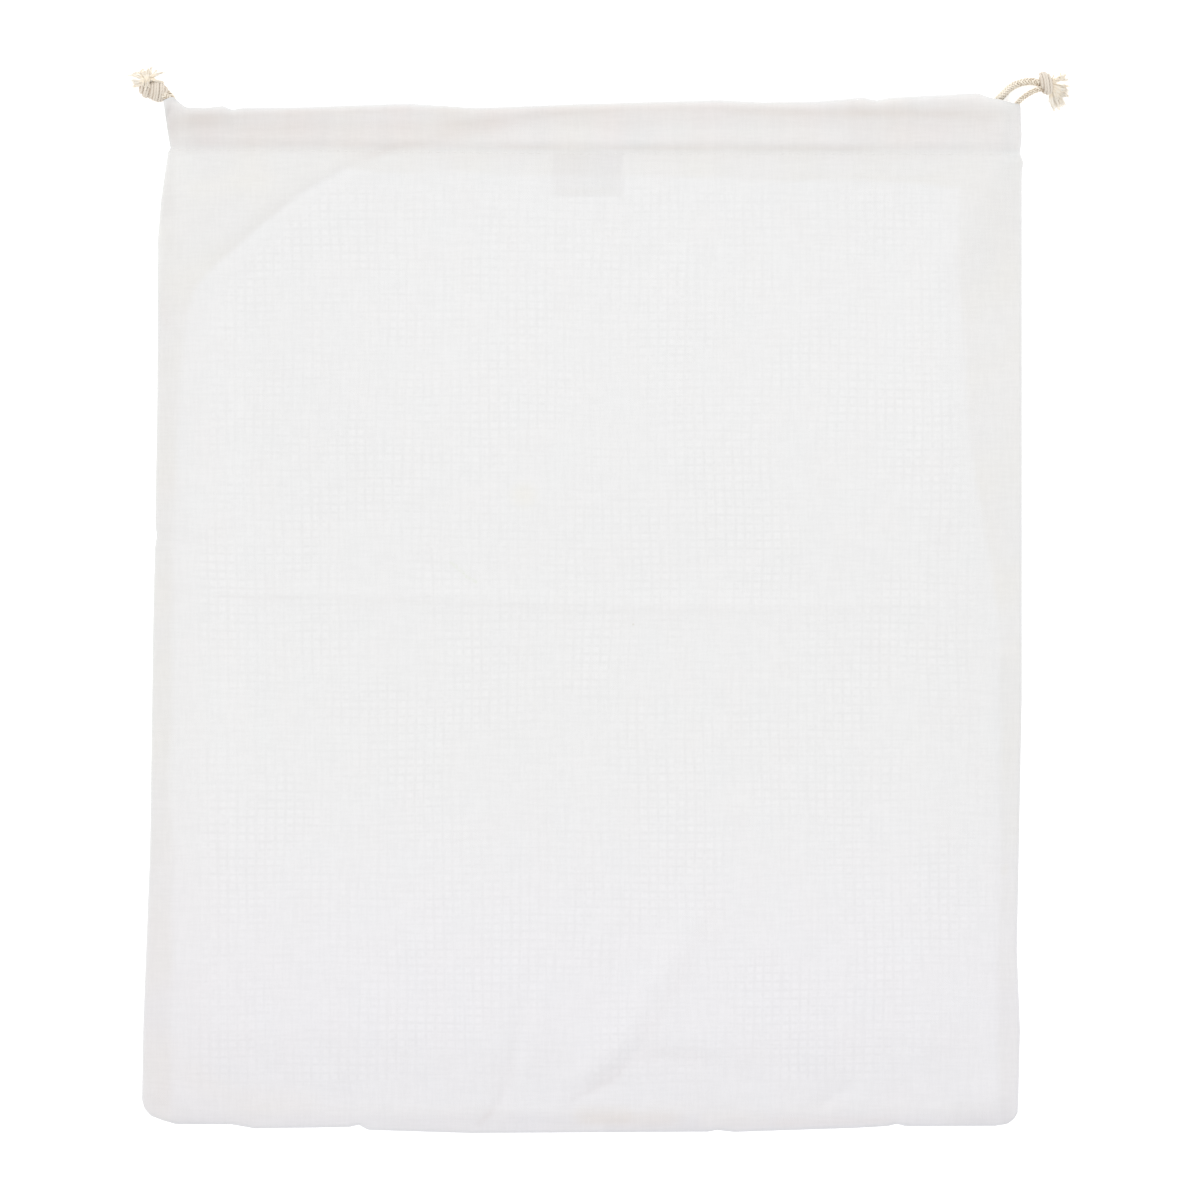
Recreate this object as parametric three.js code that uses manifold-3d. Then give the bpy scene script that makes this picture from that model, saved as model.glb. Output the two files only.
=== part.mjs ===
// A drawstring produce bag of plain white cotton with a cotton net back, lying flat on its net side.
// Millimetres, +Z up. The mouth is towards +Y, and the origin is at the middle of the cloth, on the
// surface that the bag lies on. The plain front cloth folds round the sides and the bottom, and the net
// is set into it at the back. Two cords run through the casings of the mouth, one out of each corner.
import * as THREE from "three";
import { mergeVertices } from "three/addons/utils/BufferGeometryUtils.js";
import Module from "manifold-3d";

const wasm = await Module();
wasm.setup();

// Driving sizes
const CLOTH = 1.1; // thickness of a cloth solid
const NET = 1.0; // thickness of the net solid
const GAP = 0.3; // clearance between pieces
const SEWN_GAP = 0.45; // the same, measured along X or Y, where pieces meet edge to edge, also aslant
const CORD = 2.8; // diameter of a drawcord
const CORD_SIDES = 8;
const TUNNEL = CORD + 2 * 0.35; // room for a cord in its casing
const CASING = TUNNEL + 2 * CLOTH; // height of a casing with its cord
const SIDE_WALL = 1.4; // cloth at the folded sides, measured level
const RIM = 2.4; // height of the folded edge
const RIM_ROUND = 1.2; // how far in from the edge the fold rounds over
const LOFT = 7.7; // height of the front cloth over the middle of the bag
const LOFT_RAMP = 36; // how far in from an edge the cloth reaches that height
const CASING_RAMP = 11; // the same at the ends of the casing
const MOUTH_LIFT = 4.3; // extra height of the front casing over the back one
const MOUTH_HALF = 130; // where that lift begins, from the middle
const MOUTH_RAMP = 65;
const SEAM_RISE = 3.1; // height of the front cloth over its casing's underside, at the stitches
const SEAM_SLOPE_START = 40; // where the cloth starts to rise to the mouth
const CORNER_START = 100; // where the loft at the sides starts to turn into the casing's round ends
const FOLD_INSET = 8; // the folds fade out this near an edge
const FOLD_END = 0.12; // how far a fold's half wave is cut short at each end, as a share of it
const RIDGE_BELOW = 0.6; // how much of a ridge the cloth's lower face takes on
const HEM_TURN = 1.3; // the casing's inner layer reaches this far below the stitches
const TUNNEL_LEFT = -126; // the casings' ends, short of the corners, where the cords turn
const TUNNEL_RIGHT = 130.5;
const CASING_STEP = 10.5; // between the sections along a casing
const PAST = 10; // how far a cutting solid reaches past what it cuts

// The outline, clockwise from the top left corner, each edge as points along it
const TOP_EDGE = [
  { at: -145.2, edge: 177.7 },
  { at: -142.1, edge: 179.1 },
  { at: -137.6, edge: 175.3 },
  { at: -131.0, edge: 175.0 },
  { at: -124.4, edge: 175.8 },
  { at: -121.6, edge: 174.4 },
  { at: -118.0, edge: 175.1 },
  { at: -95.3, edge: 175.3 },
  { at: -60.9, edge: 176.5 },
  { at: -37.0, edge: 174.9 },
  { at: -3.7, edge: 176.2 },
  { at: 46.9, edge: 177.7 },
  { at: 62.0, edge: 176.9 },
  { at: 80.0, edge: 177.1 },
  { at: 96.9, edge: 178.7 },
  { at: 101.4, edge: 177.6 },
  { at: 106.6, edge: 178.7 },
  { at: 136.7, edge: 180.2 },
  { at: 140.2, edge: 178.9 },
  { at: 151.7, edge: 176.3 },
];
const BOTTOM_EDGE = [
  { at: -152.9, edge: -168.4 },
  { at: -152.1, edge: -171.5 },
  { at: -149.9, edge: -174.1 },
  { at: -145.9, edge: -175.7 },
  { at: -141.0, edge: -177.1 },
  { at: -121.6, edge: -177.2 },
  { at: -113.6, edge: -178.6 },
  { at: -81.0, edge: -178.1 },
  { at: -77.6, edge: -177.3 },
  { at: -74.5, edge: -179.1 },
  { at: -38.4, edge: -180.2 },
  { at: -5.1, edge: -180.0 },
  { at: 43.8, edge: -179.7 },
  { at: 46.5, edge: -179.1 },
  { at: 52.5, edge: -179.8 },
  { at: 94.8, edge: -178.4 },
  { at: 105.5, edge: -177.8 },
  { at: 108.9, edge: -177.0 },
  { at: 112.0, edge: -177.8 },
  { at: 143.0, edge: -177.7 },
  { at: 147.4, edge: -177.0 },
  { at: 149.9, edge: -175.0 },
  { at: 150.9, edge: -172.9 },
  { at: 151.1, edge: -169.1 },
];
const LEFT_EDGE = [
  { at: -168.4, edge: -152.9 },
  { at: -144.4, edge: -152.5 },
  { at: -82.0, edge: -150.1 },
  { at: -2.3, edge: -149.0 },
  { at: 23.0, edge: -148.4 },
  { at: 27.0, edge: -147.7 },
  { at: 31.0, edge: -148.3 },
  { at: 74.0, edge: -147.6 },
  { at: 129.5, edge: -147.4 },
  { at: 143.7, edge: -146.2 },
  { at: 160.0, edge: -143.8 },
  { at: 161.3, edge: -143.0 },
  { at: 168.4, edge: -144.2 },
  { at: 177.7, edge: -145.2 },
];
const RIGHT_EDGE = [
  { at: -169.1, edge: 151.1 },
  { at: -144.4, edge: 151.7 },
  { at: -116.7, edge: 150.6 },
  { at: -82.0, edge: 151.3 },
  { at: -30.0, edge: 152.3 },
  { at: 153.0, edge: 152.3 },
  { at: 156.6, edge: 152.9 },
  { at: 159.4, edge: 151.7 },
  { at: 165.9, edge: 152.3 },
  { at: 176.3, edge: 151.7 },
];

// The line of stitches under the casing
const STITCHES = [
  { at: -143, edge: 161.4 },
  { at: -98, edge: 160.9 },
  { at: -29, edge: 160.0 },
  { at: 6, edge: 159.7 },
];

// The opening in the back, left by the cloth that is folded round
const WINDOW_LEFT = [
  { at: -171, edge: -142.4 },
  { at: 4.7, edge: -142.4 },
  { at: 74, edge: -139.7 },
  { at: 119, edge: -136.2 },
  { at: 150, edge: -133.5 },
  { at: 157, edge: TUNNEL_LEFT - GAP },
];
const WINDOW_RIGHT = [
  { at: -171, edge: 144.0 },
  { at: -9.2, edge: 144.7 },
  { at: 39.4, edge: 137.8 },
  { at: 74, edge: 133.6 },
  { at: 108.7, edge: TUNNEL_RIGHT + GAP },
];
const WINDOW_BOTTOM = -170.5;

// The top of the net, where the plain cloth of the back casing ends. It hangs lower at the left.
const NET_TOP = [
  { at: -137.0, edge: 119.0 },
  { at: -127.5, edge: 120.9 },
  { at: -111.9, edge: 134.7 },
  { at: -98.0, edge: 145.1 },
  { at: -77.2, edge: 156.6 },
  { at: -11.3, edge: 153.1 },
  { at: 96.2, edge: 151.0 },
  { at: 101.4, edge: 149.3 },
  { at: 131.0, edge: 148.6 },
];

// The fold at the top of the back casing, just below that of the front
const BACK_TOP = [
  { at: -126, edge: 174.2 },
  { at: 0, edge: 175.2 },
  { at: 131, edge: 178.4 },
];

// The folds in the front cloth. A ridge has a height over 0 and a valley one under 0.
const FOLDS = [
  { path: [[-121, 7.5], [-36, 5.4], [20, 2.6], [103, 1.9], [136, 0.5]], height: 0.7, width: 6 },
  { path: [[-32, -176], [-25, -162], [-22, -144], [-18, -127]], height: -0.5, width: 5 },
  { path: [[-24, -170], [-16, -150], [-13, -117]], height: 0.8, width: 7 },
  { path: [[-8, -172], [3, -158], [20, -134], [34, -110], [49, -82], [56, -61]], height: 1.6, width: 9 },
  { path: [[-1, -168], [16, -151], [38, -120]], height: -0.5, width: 6 },
  { path: [[18, -154], [41, -162], [62, -166], [86, -163], [103, -155]], height: 1.1, width: 8 },
  { path: [[-84, -158], [-78, -174]], height: -0.4, width: 5 },
  { path: [[-115, -142], [-67, -141]], height: 0.4, width: 6 },
  { path: [[-11, 143], [-2, 112], [6, 81]], height: 0.6, width: 12 },
  { path: [[48, 140], [34, 109], [55, 95]], height: 0.5, width: 9 },
  { path: [[-148, 27], [-122, 19]], height: -0.4, width: 5 },
  { path: [[-127, 121], [-98, 145], [-77, 157]], height: 0.5, width: 6 },
];

// The cloth stands up over the cords where they leave the left corner.
const HOOD = { x: -143.6, y: 178.2, height: 9.2, fall: 0.1 };

// The blank label's sides and low end, its thickness, and how its low end lifts
const LABEL = { left: -10.3, right: 13.6, low: 144.2, thick: 1, lift: 0.5, liftFrom: 6 };

// The cords' routes, from knot to knot: out of the knot, along one casing, round the far corner and
// back along the other casing
const ROUTE_LEFT = [
  [-146.6, 180.6, 5.6],
  [-144.2, 178.9, 5.9],
  [-140.6, 176.3, 6.8],
  [-136.0, 173.6, 7.9],
  [-130.0, 171.6, 8.7],
  [-124.0, 170.9, 8.95],
  [-110.0, 170.8, 9.8],
  [-95.0, 170.9, 11.2],
  [-80.0, 171.1, 12.5],
  [-65.0, 171.3, 13.1],
  [-28.0, 171.6, 13.1],
  [0.0, 172.7, 13.1],
  [35.0, 173.2, 13.1],
  [65.0, 173.2, 13.1],
  [80.0, 173.2, 12.5],
  [95.0, 173.2, 11.2],
  [110.0, 173.6, 9.8],
  [124.0, 174.3, 8.95],
  [132.0, 174.7, 8.9],
  [137.4, 173.8, 8.2],
  [141.0, 170.6, 6.6],
  [141.4, 166.4, 4.8],
  [137.8, 163.1, 3.3],
  [132.0, 162.1, 2.85],
  [125.0, 162.2, 2.85],
  [90.0, 162.1, 2.85],
  [45.0, 162.1, 2.85],
  [0.0, 162.3, 2.85],
  [-50.0, 162.9, 2.85],
  [-95.0, 163.3, 2.85],
  [-124.0, 163.5, 2.85],
  [-131.0, 163.2, 2.85],
  [-137.0, 163.5, 2.6],
  [-140.4, 166.2, 2.5],
  [-141.1, 171.0, 2.6],
  [-141.4, 175.4, 2.7],
  [-143.0, 179.2, 2.8],
  [-145.6, 181.6, 2.7],
];
const ROUTE_RIGHT = [
  [158.6, 183.9, 2.6],
  [155.3, 184.5, 2.0],
  [151.7, 184.0, 1.8],
  [148.2, 182.3, 1.9],
  [145.2, 179.4, 2.6],
  [141.6, 176.2, 2.85],
  [136.6, 174.2, 2.85],
  [130.0, 173.6, 2.85],
  [100.0, 172.9, 2.85],
  [60.0, 172.2, 2.85],
  [0.0, 171.5, 2.85],
  [-60.0, 170.9, 2.85],
  [-118.0, 170.5, 2.85],
  [-126.0, 170.8, 2.85],
  [-132.0, 171.6, 3.2],
  [-136.2, 170.2, 4.2],
  [-137.6, 166.8, 5.9],
  [-135.6, 163.8, 7.6],
  [-130.6, 163.2, 8.6],
  [-124.0, 163.6, 8.95],
  [-110.0, 163.3, 9.8],
  [-95.0, 163.1, 11.2],
  [-80.0, 162.9, 12.5],
  [-65.0, 162.7, 13.1],
  [0.0, 162.1, 13.1],
  [65.0, 162.0, 13.1],
  [80.0, 162.0, 12.5],
  [95.0, 162.0, 11.2],
  [110.0, 162.0, 9.8],
  [124.0, 162.0, 8.95],
  [131.5, 162.1, 8.8],
  [138.4, 162.3, 8.2],
  [144.2, 163.9, 7.2],
  [147.5, 167.8, 5.8],
  [148.7, 172.2, 4.7],
  [150.2, 176.2, 3.8],
  [152.7, 178.9, 3.3],
  [156.0, 180.9, 3.9],
  [159.2, 182.0, 5.4],
];

// Helpers
const { lerp, degToRad } = THREE.MathUtils;

function smooth(t) {
  const held = Math.min(1, Math.max(0, t));
  return held * held * (3 - 2 * held);
}

// The height of a quarter of an ellipse that is 1 high and 1 wide
function roundOver(t) {
  const short = 1 - Math.min(1, Math.max(0, t));
  return Math.sqrt(1 - short * short);
}

// Where an edge lies at a place along it
function edgeAt(table, at) {
  const last = table.length - 1;
  if (at <= table[0].at) return table[0].edge;
  if (at >= table[last].at) return table[last].edge;
  const next = table.findIndex((row) => row.at > at);
  const [a, b] = [table[next - 1], table[next]];
  return lerp(a.edge, b.edge, (at - a.at) / (b.at - a.at));
}

const topEdge = (x) => edgeAt(TOP_EDGE, x);
const bottomEdge = (x) => edgeAt(BOTTOM_EDGE, x);
const leftEdge = (y) => edgeAt(LEFT_EDGE, y);
const rightEdge = (y) => edgeAt(RIGHT_EDGE, y);
const stitches = (x) => edgeAt(STITCHES, x);

// How far a point lies from a path, and how far along it, from 0 to 1
function nearPath(path, x, y) {
  const best = { away: Infinity, along: 0 };
  for (let i = 0; i + 1 < path.length; i += 1) {
    const [[ax, ay], [bx, by]] = [path[i], path[i + 1]];
    const [dx, dy] = [bx - ax, by - ay];
    const share = ((x - ax) * dx + (y - ay) * dy) / (dx * dx + dy * dy);
    const t = Math.min(1, Math.max(0, share));
    const away = Math.hypot(x - ax - t * dx, y - ay - t * dy);
    if (away < best.away) {
      best.away = away;
      best.along = (i + t) / (path.length - 1);
    }
  }
  return best;
}

function foldRelief(x, y) {
  let sum = 0;
  for (const fold of FOLDS) {
    const { away, along } = nearPath(fold.path, x, y);
    const fade = Math.sin(Math.PI * lerp(FOLD_END, 1 - FOLD_END, along));
    sum += fold.height * fade * Math.exp(-((away / fold.width) ** 2));
  }
  return sum;
}

// The underside of the front casing, which stands off the back one in the middle of the mouth
function casingUnder(x) {
  return CASING + GAP + MOUTH_LIFT * smooth((MOUTH_HALF - Math.abs(x)) / MOUTH_RAMP);
}

// The front cloth's height away from the sides and the bottom
function crownHeight(x, y) {
  const round = CASING / 2;
  const under = casingUnder(x);
  const seam = stitches(x);
  const slope = smooth((y - SEAM_SLOPE_START) / (seam - SEAM_SLOPE_START));
  const panel = lerp(LOFT, under + SEAM_RISE, slope);
  const fromSeam = y - (seam - CLOTH);
  const fromTop = topEdge(x) - y;
  if (fromSeam <= 0) return panel;
  const casing = under + round + round * roundOver(Math.min(fromSeam, fromTop) / round);
  return Math.max(panel, casing);
}

// The upper face of the front cloth, with the share of its folds that is asked for
function clothTop(x, y, reliefShare = () => 1) {
  const fromSide = Math.min(x - leftEdge(y), rightEdge(y) - x);
  const fromBottom = y - bottomEdge(x);
  const casingShare = smooth((y - CORNER_START) / (stitches(x) - CORNER_START));
  const ramp = lerp(LOFT_RAMP, CASING_RAMP, casingShare);
  const soft = smooth(fromSide / ramp);
  const side = lerp(soft, roundOver(fromSide / ramp), casingShare);
  const share = side * smooth(fromBottom / LOFT_RAMP);
  const relief = foldRelief(x, y) * smooth(Math.min(fromSide, fromBottom) / FOLD_INSET);
  let height = RIM + (crownHeight(x, y) - RIM) * share + relief * reliefShare(relief);
  const hood = HOOD.height - HOOD.fall * ((x - HOOD.x) ** 2 + (y - HOOD.y) ** 2);
  height = Math.max(height, hood);
  const rim = roundOver(Math.min(fromSide, fromBottom) / RIM_ROUND);
  return height - RIM_ROUND * (1 - rim);
}

// The lower face: it follows a valley all the way, and a ridge in part
function clothUnder(x, y) {
  return clothTop(x, y, (relief) => (relief > 0 ? RIDGE_BELOW : 1)) - CLOTH;
}

// The lines of the grid that the front cloth is built on: near an edge each line keeps its distance to
// it, and between those lines it keeps its share of the way.
const NEAR_EDGE = [0, 0.8, 2, 4, 8, 14, 22, 31];
const COLUMNS_BETWEEN = 21;
const ROWS_BETWEEN = 22;
const BELOW_SEAM = [18, 10, 5, 2.4, 1.2];
const ABOVE_SEAM = [-0.3, 1.0, 2.6];
const BELOW_TOP = [6, 2.9, 1.6, 0.7, 0];

function gridLines(inset, pastTop) {
  const sides = [...new Set(NEAR_EDGE.map((d) => Math.max(d, inset)))];
  const far = NEAR_EDGE[NEAR_EDGE.length - 1];
  const columns = [
    ...sides.map((d) => (y) => leftEdge(y) + d),
    ...Array.from({ length: COLUMNS_BETWEEN - 1 }, (_, i) => {
      const share = (i + 1) / COLUMNS_BETWEEN;
      return (y) => lerp(leftEdge(y) + far, rightEdge(y) - far, share);
    }),
    ...sides.toReversed().map((d) => (y) => rightEdge(y) - d),
  ];
  const high = BELOW_SEAM[0];
  const rows = [
    ...sides.map((d) => (x) => bottomEdge(x) + d),
    ...Array.from({ length: ROWS_BETWEEN - 1 }, (_, i) => {
      const share = (i + 1) / ROWS_BETWEEN;
      return (x) => lerp(bottomEdge(x) + far, stitches(x) - high, share);
    }),
    ...BELOW_SEAM.map((d) => (x) => stitches(x) - d),
    ...ABOVE_SEAM.map((d) => (x) => stitches(x) + d),
    ...BELOW_TOP.map((d) => (x) => topEdge(x) - d),
  ];
  if (pastTop > 0) rows.push((x) => topEdge(x) + pastTop);
  return { columns, rows };
}

// Where a column and a row cross: both are nearly straight, so a few rounds settle the point
function crossing(column, row) {
  let [x, y] = [0, 0];
  for (let round = 0; round < 6; round += 1) {
    x = column(y);
    y = row(x);
  }
  return [x, y];
}

// A closed mesh from points and triangles
function toManifold(points, triangles) {
  const geometry = new THREE.BufferGeometry();
  geometry.setAttribute("position", new THREE.Float32BufferAttribute(points.flat(), 3));
  geometry.setIndex(triangles.flat());
  return geometryToManifold(geometry);
}

function geometryToManifold(source) {
  const bare = source.clone();
  bare.deleteAttribute("normal");
  bare.deleteAttribute("uv");
  const merged = mergeVertices(bare, 1e-4);
  const mesh = new wasm.Mesh({
    numProp: 3,
    vertProperties: new Float32Array(merged.attributes.position.array),
    triVerts: new Uint32Array(merged.index.array),
  });
  return new wasm.Manifold(mesh);
}

function manifoldToGeometry(manifold) {
  const mesh = manifold.getMesh();
  const geometry = new THREE.BufferGeometry();
  geometry.setAttribute("position", new THREE.BufferAttribute(mesh.vertProperties.slice(), 3));
  geometry.setIndex(new THREE.BufferAttribute(mesh.triVerts.slice(), 1));
  geometry.computeVertexNormals();
  return geometry;
}

// A solid with a grid for its top face and a level base, whose edge may lie inside the grid's
function pillow({ inset, baseInset, pastTop, top, base }) {
  const { columns, rows } = gridLines(inset, pastTop);
  const lower = gridLines(baseInset, pastTop);
  const [wide, high] = [columns.length, rows.length];
  const points = [];
  for (const row of rows) {
    for (const column of columns) {
      const [x, y] = crossing(column, row);
      points.push([x, y, top(x, y)]);
    }
  }
  const index = (i, j) => j * wide + i;
  const triangles = [];
  for (let j = 0; j + 1 < high; j += 1) {
    for (let i = 0; i + 1 < wide; i += 1) {
      const [a, b] = [index(i, j), index(i + 1, j)];
      const [c, d] = [index(i + 1, j + 1), index(i, j + 1)];
      triangles.push([a, b, c], [a, c, d]);
    }
  }
  const ring = [];
  for (let i = 0; i < wide - 1; i += 1) ring.push([i, 0]);
  for (let j = 0; j < high - 1; j += 1) ring.push([wide - 1, j]);
  for (let i = wide - 1; i > 0; i -= 1) ring.push([i, high - 1]);
  for (let j = high - 1; j > 0; j -= 1) ring.push([0, j]);
  const baseColumn = (i) => (i === 0 ? lower.columns[0] : lower.columns[lower.columns.length - 1]);
  const baseRow = (j) => (j === 0 ? lower.rows[0] : lower.rows[lower.rows.length - 1]);
  const start = points.length;
  for (const [i, j] of ring) {
    const onSide = i === 0 || i === wide - 1;
    const onEnd = j === 0 || j === high - 1;
    const column = onSide ? baseColumn(i) : columns[i];
    const row = onEnd ? baseRow(j) : rows[j];
    const [x, y] = crossing(column, row);
    points.push([x, y, base]);
  }
  const count = ring.length;
  ring.forEach(([i, j], k) => {
    const next = (k + 1) % count;
    const [a, b] = [index(i, j), index(...ring[next])];
    triangles.push([a, start + k, start + next], [a, start + next, b]);
  });
  const outline = points.slice(start).map(([x, y]) => new THREE.Vector2(x, y));
  for (const [a, b, c] of THREE.ShapeUtils.triangulateShape(outline, [])) {
    triangles.push([start + a, start + c, start + b]);
  }
  return toManifold(points, triangles);
}

// A solid through a row of rings with as many points each, closed by a fan at both ends
function loft(rings) {
  const size = rings[0].length;
  const points = rings.flat();
  const triangles = [];
  for (let k = 0; k + 1 < rings.length; k += 1) {
    for (let i = 0; i < size; i += 1) {
      const next = (i + 1) % size;
      const [a, b] = [k * size + i, k * size + next];
      triangles.push([a, b, b + size], [a, b + size, a + size]);
    }
  }
  for (const [ring, turn] of [[0, 1], [rings.length - 1, -1]]) {
    const middle = points.length;
    const sum = rings[ring].reduce((s, p) => s.map((v, k) => v + p[k]), [0, 0, 0]);
    points.push(sum.map((v) => v / size));
    for (let i = 0; i < size; i += 1) {
      const [a, b] = [ring * size + i, ring * size + ((i + 1) % size)];
      triangles.push(turn > 0 ? [middle, b, a] : [middle, a, b]);
    }
  }
  return toManifold(points, triangles);
}

// A flat prism from an outline
function prism(outline, low, high) {
  const shape = new THREE.Shape(outline.map(([x, y]) => new THREE.Vector2(x, y)));
  const geometry = new THREE.ExtrudeGeometry(shape, { depth: high - low, bevelEnabled: false });
  geometry.translate(0, 0, low);
  return geometryToManifold(geometry);
}

// The rounded section of a casing or of the tunnel in it, in the plane across the casing
function stadium(x, low, high, base, height, steps = 3) {
  const round = Math.min(height, high - low) / 2;
  const middle = base + height / 2;
  const ring = [];
  for (let k = 0; k <= steps; k += 1) {
    const turn = -Math.PI / 2 + (Math.PI * k) / steps;
    ring.push([x, high - round + round * Math.cos(turn), middle + round * Math.sin(turn)]);
  }
  for (let k = 0; k <= steps; k += 1) {
    const turn = Math.PI / 2 + (Math.PI * k) / steps;
    ring.push([x, low + round + round * Math.cos(turn), middle + round * Math.sin(turn)]);
  }
  return ring;
}

function stations(from, to, step) {
  const count = Math.max(1, Math.round((to - from) / step));
  return Array.from({ length: count + 1 }, (_, i) => lerp(from, to, i / count));
}

// Where the sections of a casing's tunnel stand: it runs past both ends of the casing
const TUNNEL_STEPS = 4;
const tunnelStations = () => [
  TUNNEL_LEFT - PAST,
  ...stations(TUNNEL_LEFT, TUNNEL_RIGHT, CASING_STEP),
  TUNNEL_RIGHT + PAST,
];

// A cord or the room around it, on the smooth curve through its route. The steps follow the points of
// the route, which lie closer in the bends.
function cordTube(route, radius) {
  const curve = new THREE.CatmullRomCurve3(
    route.map((p) => new THREE.Vector3(...p)),
    false,
    "centripetal",
  );
  curve.getUtoTmapping = (u) => u;
  const section = new THREE.Shape();
  for (let i = 0; i < CORD_SIDES; i += 1) {
    const turn = (2 * Math.PI * (i + 0.5)) / CORD_SIDES;
    const [x, y] = [radius * Math.cos(turn), radius * Math.sin(turn)];
    if (i === 0) section.moveTo(x, y);
    else section.lineTo(x, y);
  }
  section.closePath();
  const steps = 2 * (route.length - 1);
  return new THREE.ExtrudeGeometry(section, { steps, extrudePath: curve, bevelEnabled: false });
}

// The room that a cord needs where it leaves the cloth, and inside its knot
function cordRoom(route) {
  const [end, before] = route.slice(0, 2).map((p) => new THREE.Vector3(...p));
  const past = end.clone().sub(before).setLength(GAP).add(end);
  const radius = (CORD / 2 + GAP) / Math.cos(Math.PI / CORD_SIDES);
  return geometryToManifold(cordTube([past.toArray(), ...route.slice(0, 7)], radius));
}

function exitRooms() {
  return [ROUTE_LEFT, ROUTE_RIGHT].flatMap((route) => [cordRoom(route), cordRoom(route.toReversed())]);
}

// The front cloth, with its casing and the cloth that folds round to the back
function cottonPanel() {
  let panel = pillow({ inset: 0, baseInset: 0.6, pastTop: 0, top: clothTop, base: 0 });
  const inside = pillow({
    inset: SIDE_WALL,
    baseInset: SIDE_WALL,
    pastTop: 4,
    top: clothUnder,
    base: CLOTH,
  });
  panel = panel.subtract(inside);

  const inShell = 0.3; // the inner layer joins the front one inside its thickness
  const layer = stations(TUNNEL_LEFT, TUNNEL_RIGHT, CASING_STEP).map((x) => {
    const low = stitches(x) - HEM_TURN;
    return stadium(x, low, topEdge(x) - inShell, casingUnder(x), CASING - inShell);
  });
  panel = panel.add(loft(layer));
  const room = tunnelStations().map((x) => {
    const low = casingUnder(x) + CLOTH;
    return stadium(x, stitches(x), topEdge(x) - CLOTH, low, TUNNEL, TUNNEL_STEPS);
  });
  panel = panel.subtract(loft(room));
  panel = panel.subtract(prism(windowOutline(0), -PAST, CLOTH + inShell));
  for (const exit of exitRooms()) panel = panel.subtract(exit);
  return panel;
}

// The outline of the back's opening, brought in by the clearance that a piece set into it keeps
function windowOutline(clear) {
  const pastTop = topEdge(TUNNEL_RIGHT) + PAST;
  const left = WINDOW_LEFT.map(({ at, edge }) => [edge + clear, Math.max(at, WINDOW_BOTTOM + clear)]);
  const right = WINDOW_RIGHT.map(({ at, edge }) => [edge - clear, Math.max(at, WINDOW_BOTTOM + clear)]);
  const topLeft = [left[left.length - 1][0], pastTop];
  const topRight = [right[right.length - 1][0], pastTop];
  return [...right, topRight, topLeft, ...left.toReversed()];
}

// The plain band at the top of the back: a casing of its own, and the flap below it
function backCasing() {
  const low = (x) => stitches(x) - HEM_TURN;
  const high = (x) => edgeAt(BACK_TOP, x);
  const sections = stations(TUNNEL_LEFT, TUNNEL_RIGHT, CASING_STEP);
  const outer = loft(sections.map((x) => stadium(x, low(x), high(x), 0, CASING)));
  const room = loft(
    tunnelStations().map((x) => {
      return stadium(x, stitches(x), high(x) - CLOTH, CLOTH, TUNNEL, TUNNEL_STEPS);
    }),
  );
  const foot = 1.6; // the band's flat underside ends this far below the fold
  const band = [
    ...NET_TOP.map(({ at, edge }) => [at, edge]),
    [TUNNEL_RIGHT + PAST, high(TUNNEL_RIGHT) - foot],
    [TUNNEL_LEFT - PAST, high(TUNNEL_LEFT) - foot],
  ];
  const opening = prism(windowOutline(SEWN_GAP), -PAST, PAST);
  const flap = prism(band, 0, CLOTH).intersect(opening);
  return outer.add(flap).subtract(room);
}

// The net, set into the opening with its stitched edge
function netPanel() {
  const [first, last] = [NET_TOP[0], NET_TOP[NET_TOP.length - 1]];
  const below = [
    [first.at - PAST, first.edge - SEWN_GAP],
    ...NET_TOP.map(({ at, edge }) => [at, edge - SEWN_GAP]),
    [last.at + 2 * PAST, last.edge - SEWN_GAP],
    [last.at + 2 * PAST, WINDOW_BOTTOM - PAST],
    [first.at - PAST, WINDOW_BOTTOM - PAST],
  ];
  const sheet = prism(windowOutline(GAP), 0, NET);
  return sheet.intersect(prism(below.toReversed(), -PAST, PAST));
}

// A blank woven label, sewn in below the back casing's stitches and lying on the back
function label() {
  const { left, right, low, thick, lift, liftFrom } = LABEL;
  const high = stitches((left + right) / 2) - HEM_TURN - GAP;
  return loft(
    stations(low, high, 5).map((y) => {
      const base = CLOTH + GAP + lift * smooth((low + liftFrom - y) / liftFrom);
      return [
        [left, y, base],
        [left, y, base + thick],
        [right, y, base + thick],
        [right, y, base],
      ];
    }),
  );
}

// A knot: turns of cord side by side along its axis, and the frayed ends that fan out of it
const GROOVE = 0.1; // depth of the grooves between the turns, as a share of the knot's size
const TURN_LEAN = 0.12; // how far the turns lean along the axis, as a share of their width
function knot({ centre, axisTurn, length, wide, high, turns, root, fan }) {
  const rings = [];
  const [steps, sides] = [4 * turns, 14];
  const turn = degToRad(axisTurn);
  const [ax, ay] = [Math.cos(turn), Math.sin(turn)];
  for (let k = 0; k <= steps; k += 1) {
    const share = k / steps;
    const along = (share - 0.5) * length;
    const end = Math.min(1, 0.45 + 1.9 * Math.sin(Math.PI * share)); // narrower at both ends
    const size = end * (1 - GROOVE + GROOVE * Math.abs(Math.sin(Math.PI * turns * share)));
    const ring = [];
    for (let i = 0; i < sides; i += 1) {
      const angle = (-2 * Math.PI * i) / sides;
      const across = (wide / 2) * size * Math.cos(angle);
      const up = Math.max((high / 2) * size * Math.sin(angle), -centre[2]);
      const forward = along + TURN_LEAN * across;
      ring.push([
        centre[0] + forward * ax + across * ay,
        centre[1] + forward * ay - across * ax,
        centre[2] + up,
      ]);
    }
    rings.push(ring);
  }
  let solid = loft(rings);
  for (const strand of fanStrands(root, fan)) solid = solid.add(strand);
  for (const room of exitRooms()) solid = solid.subtract(room);
  return solid.decompose().toSorted((a, b) => b.volume() - a.volume())[0];
}

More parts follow.
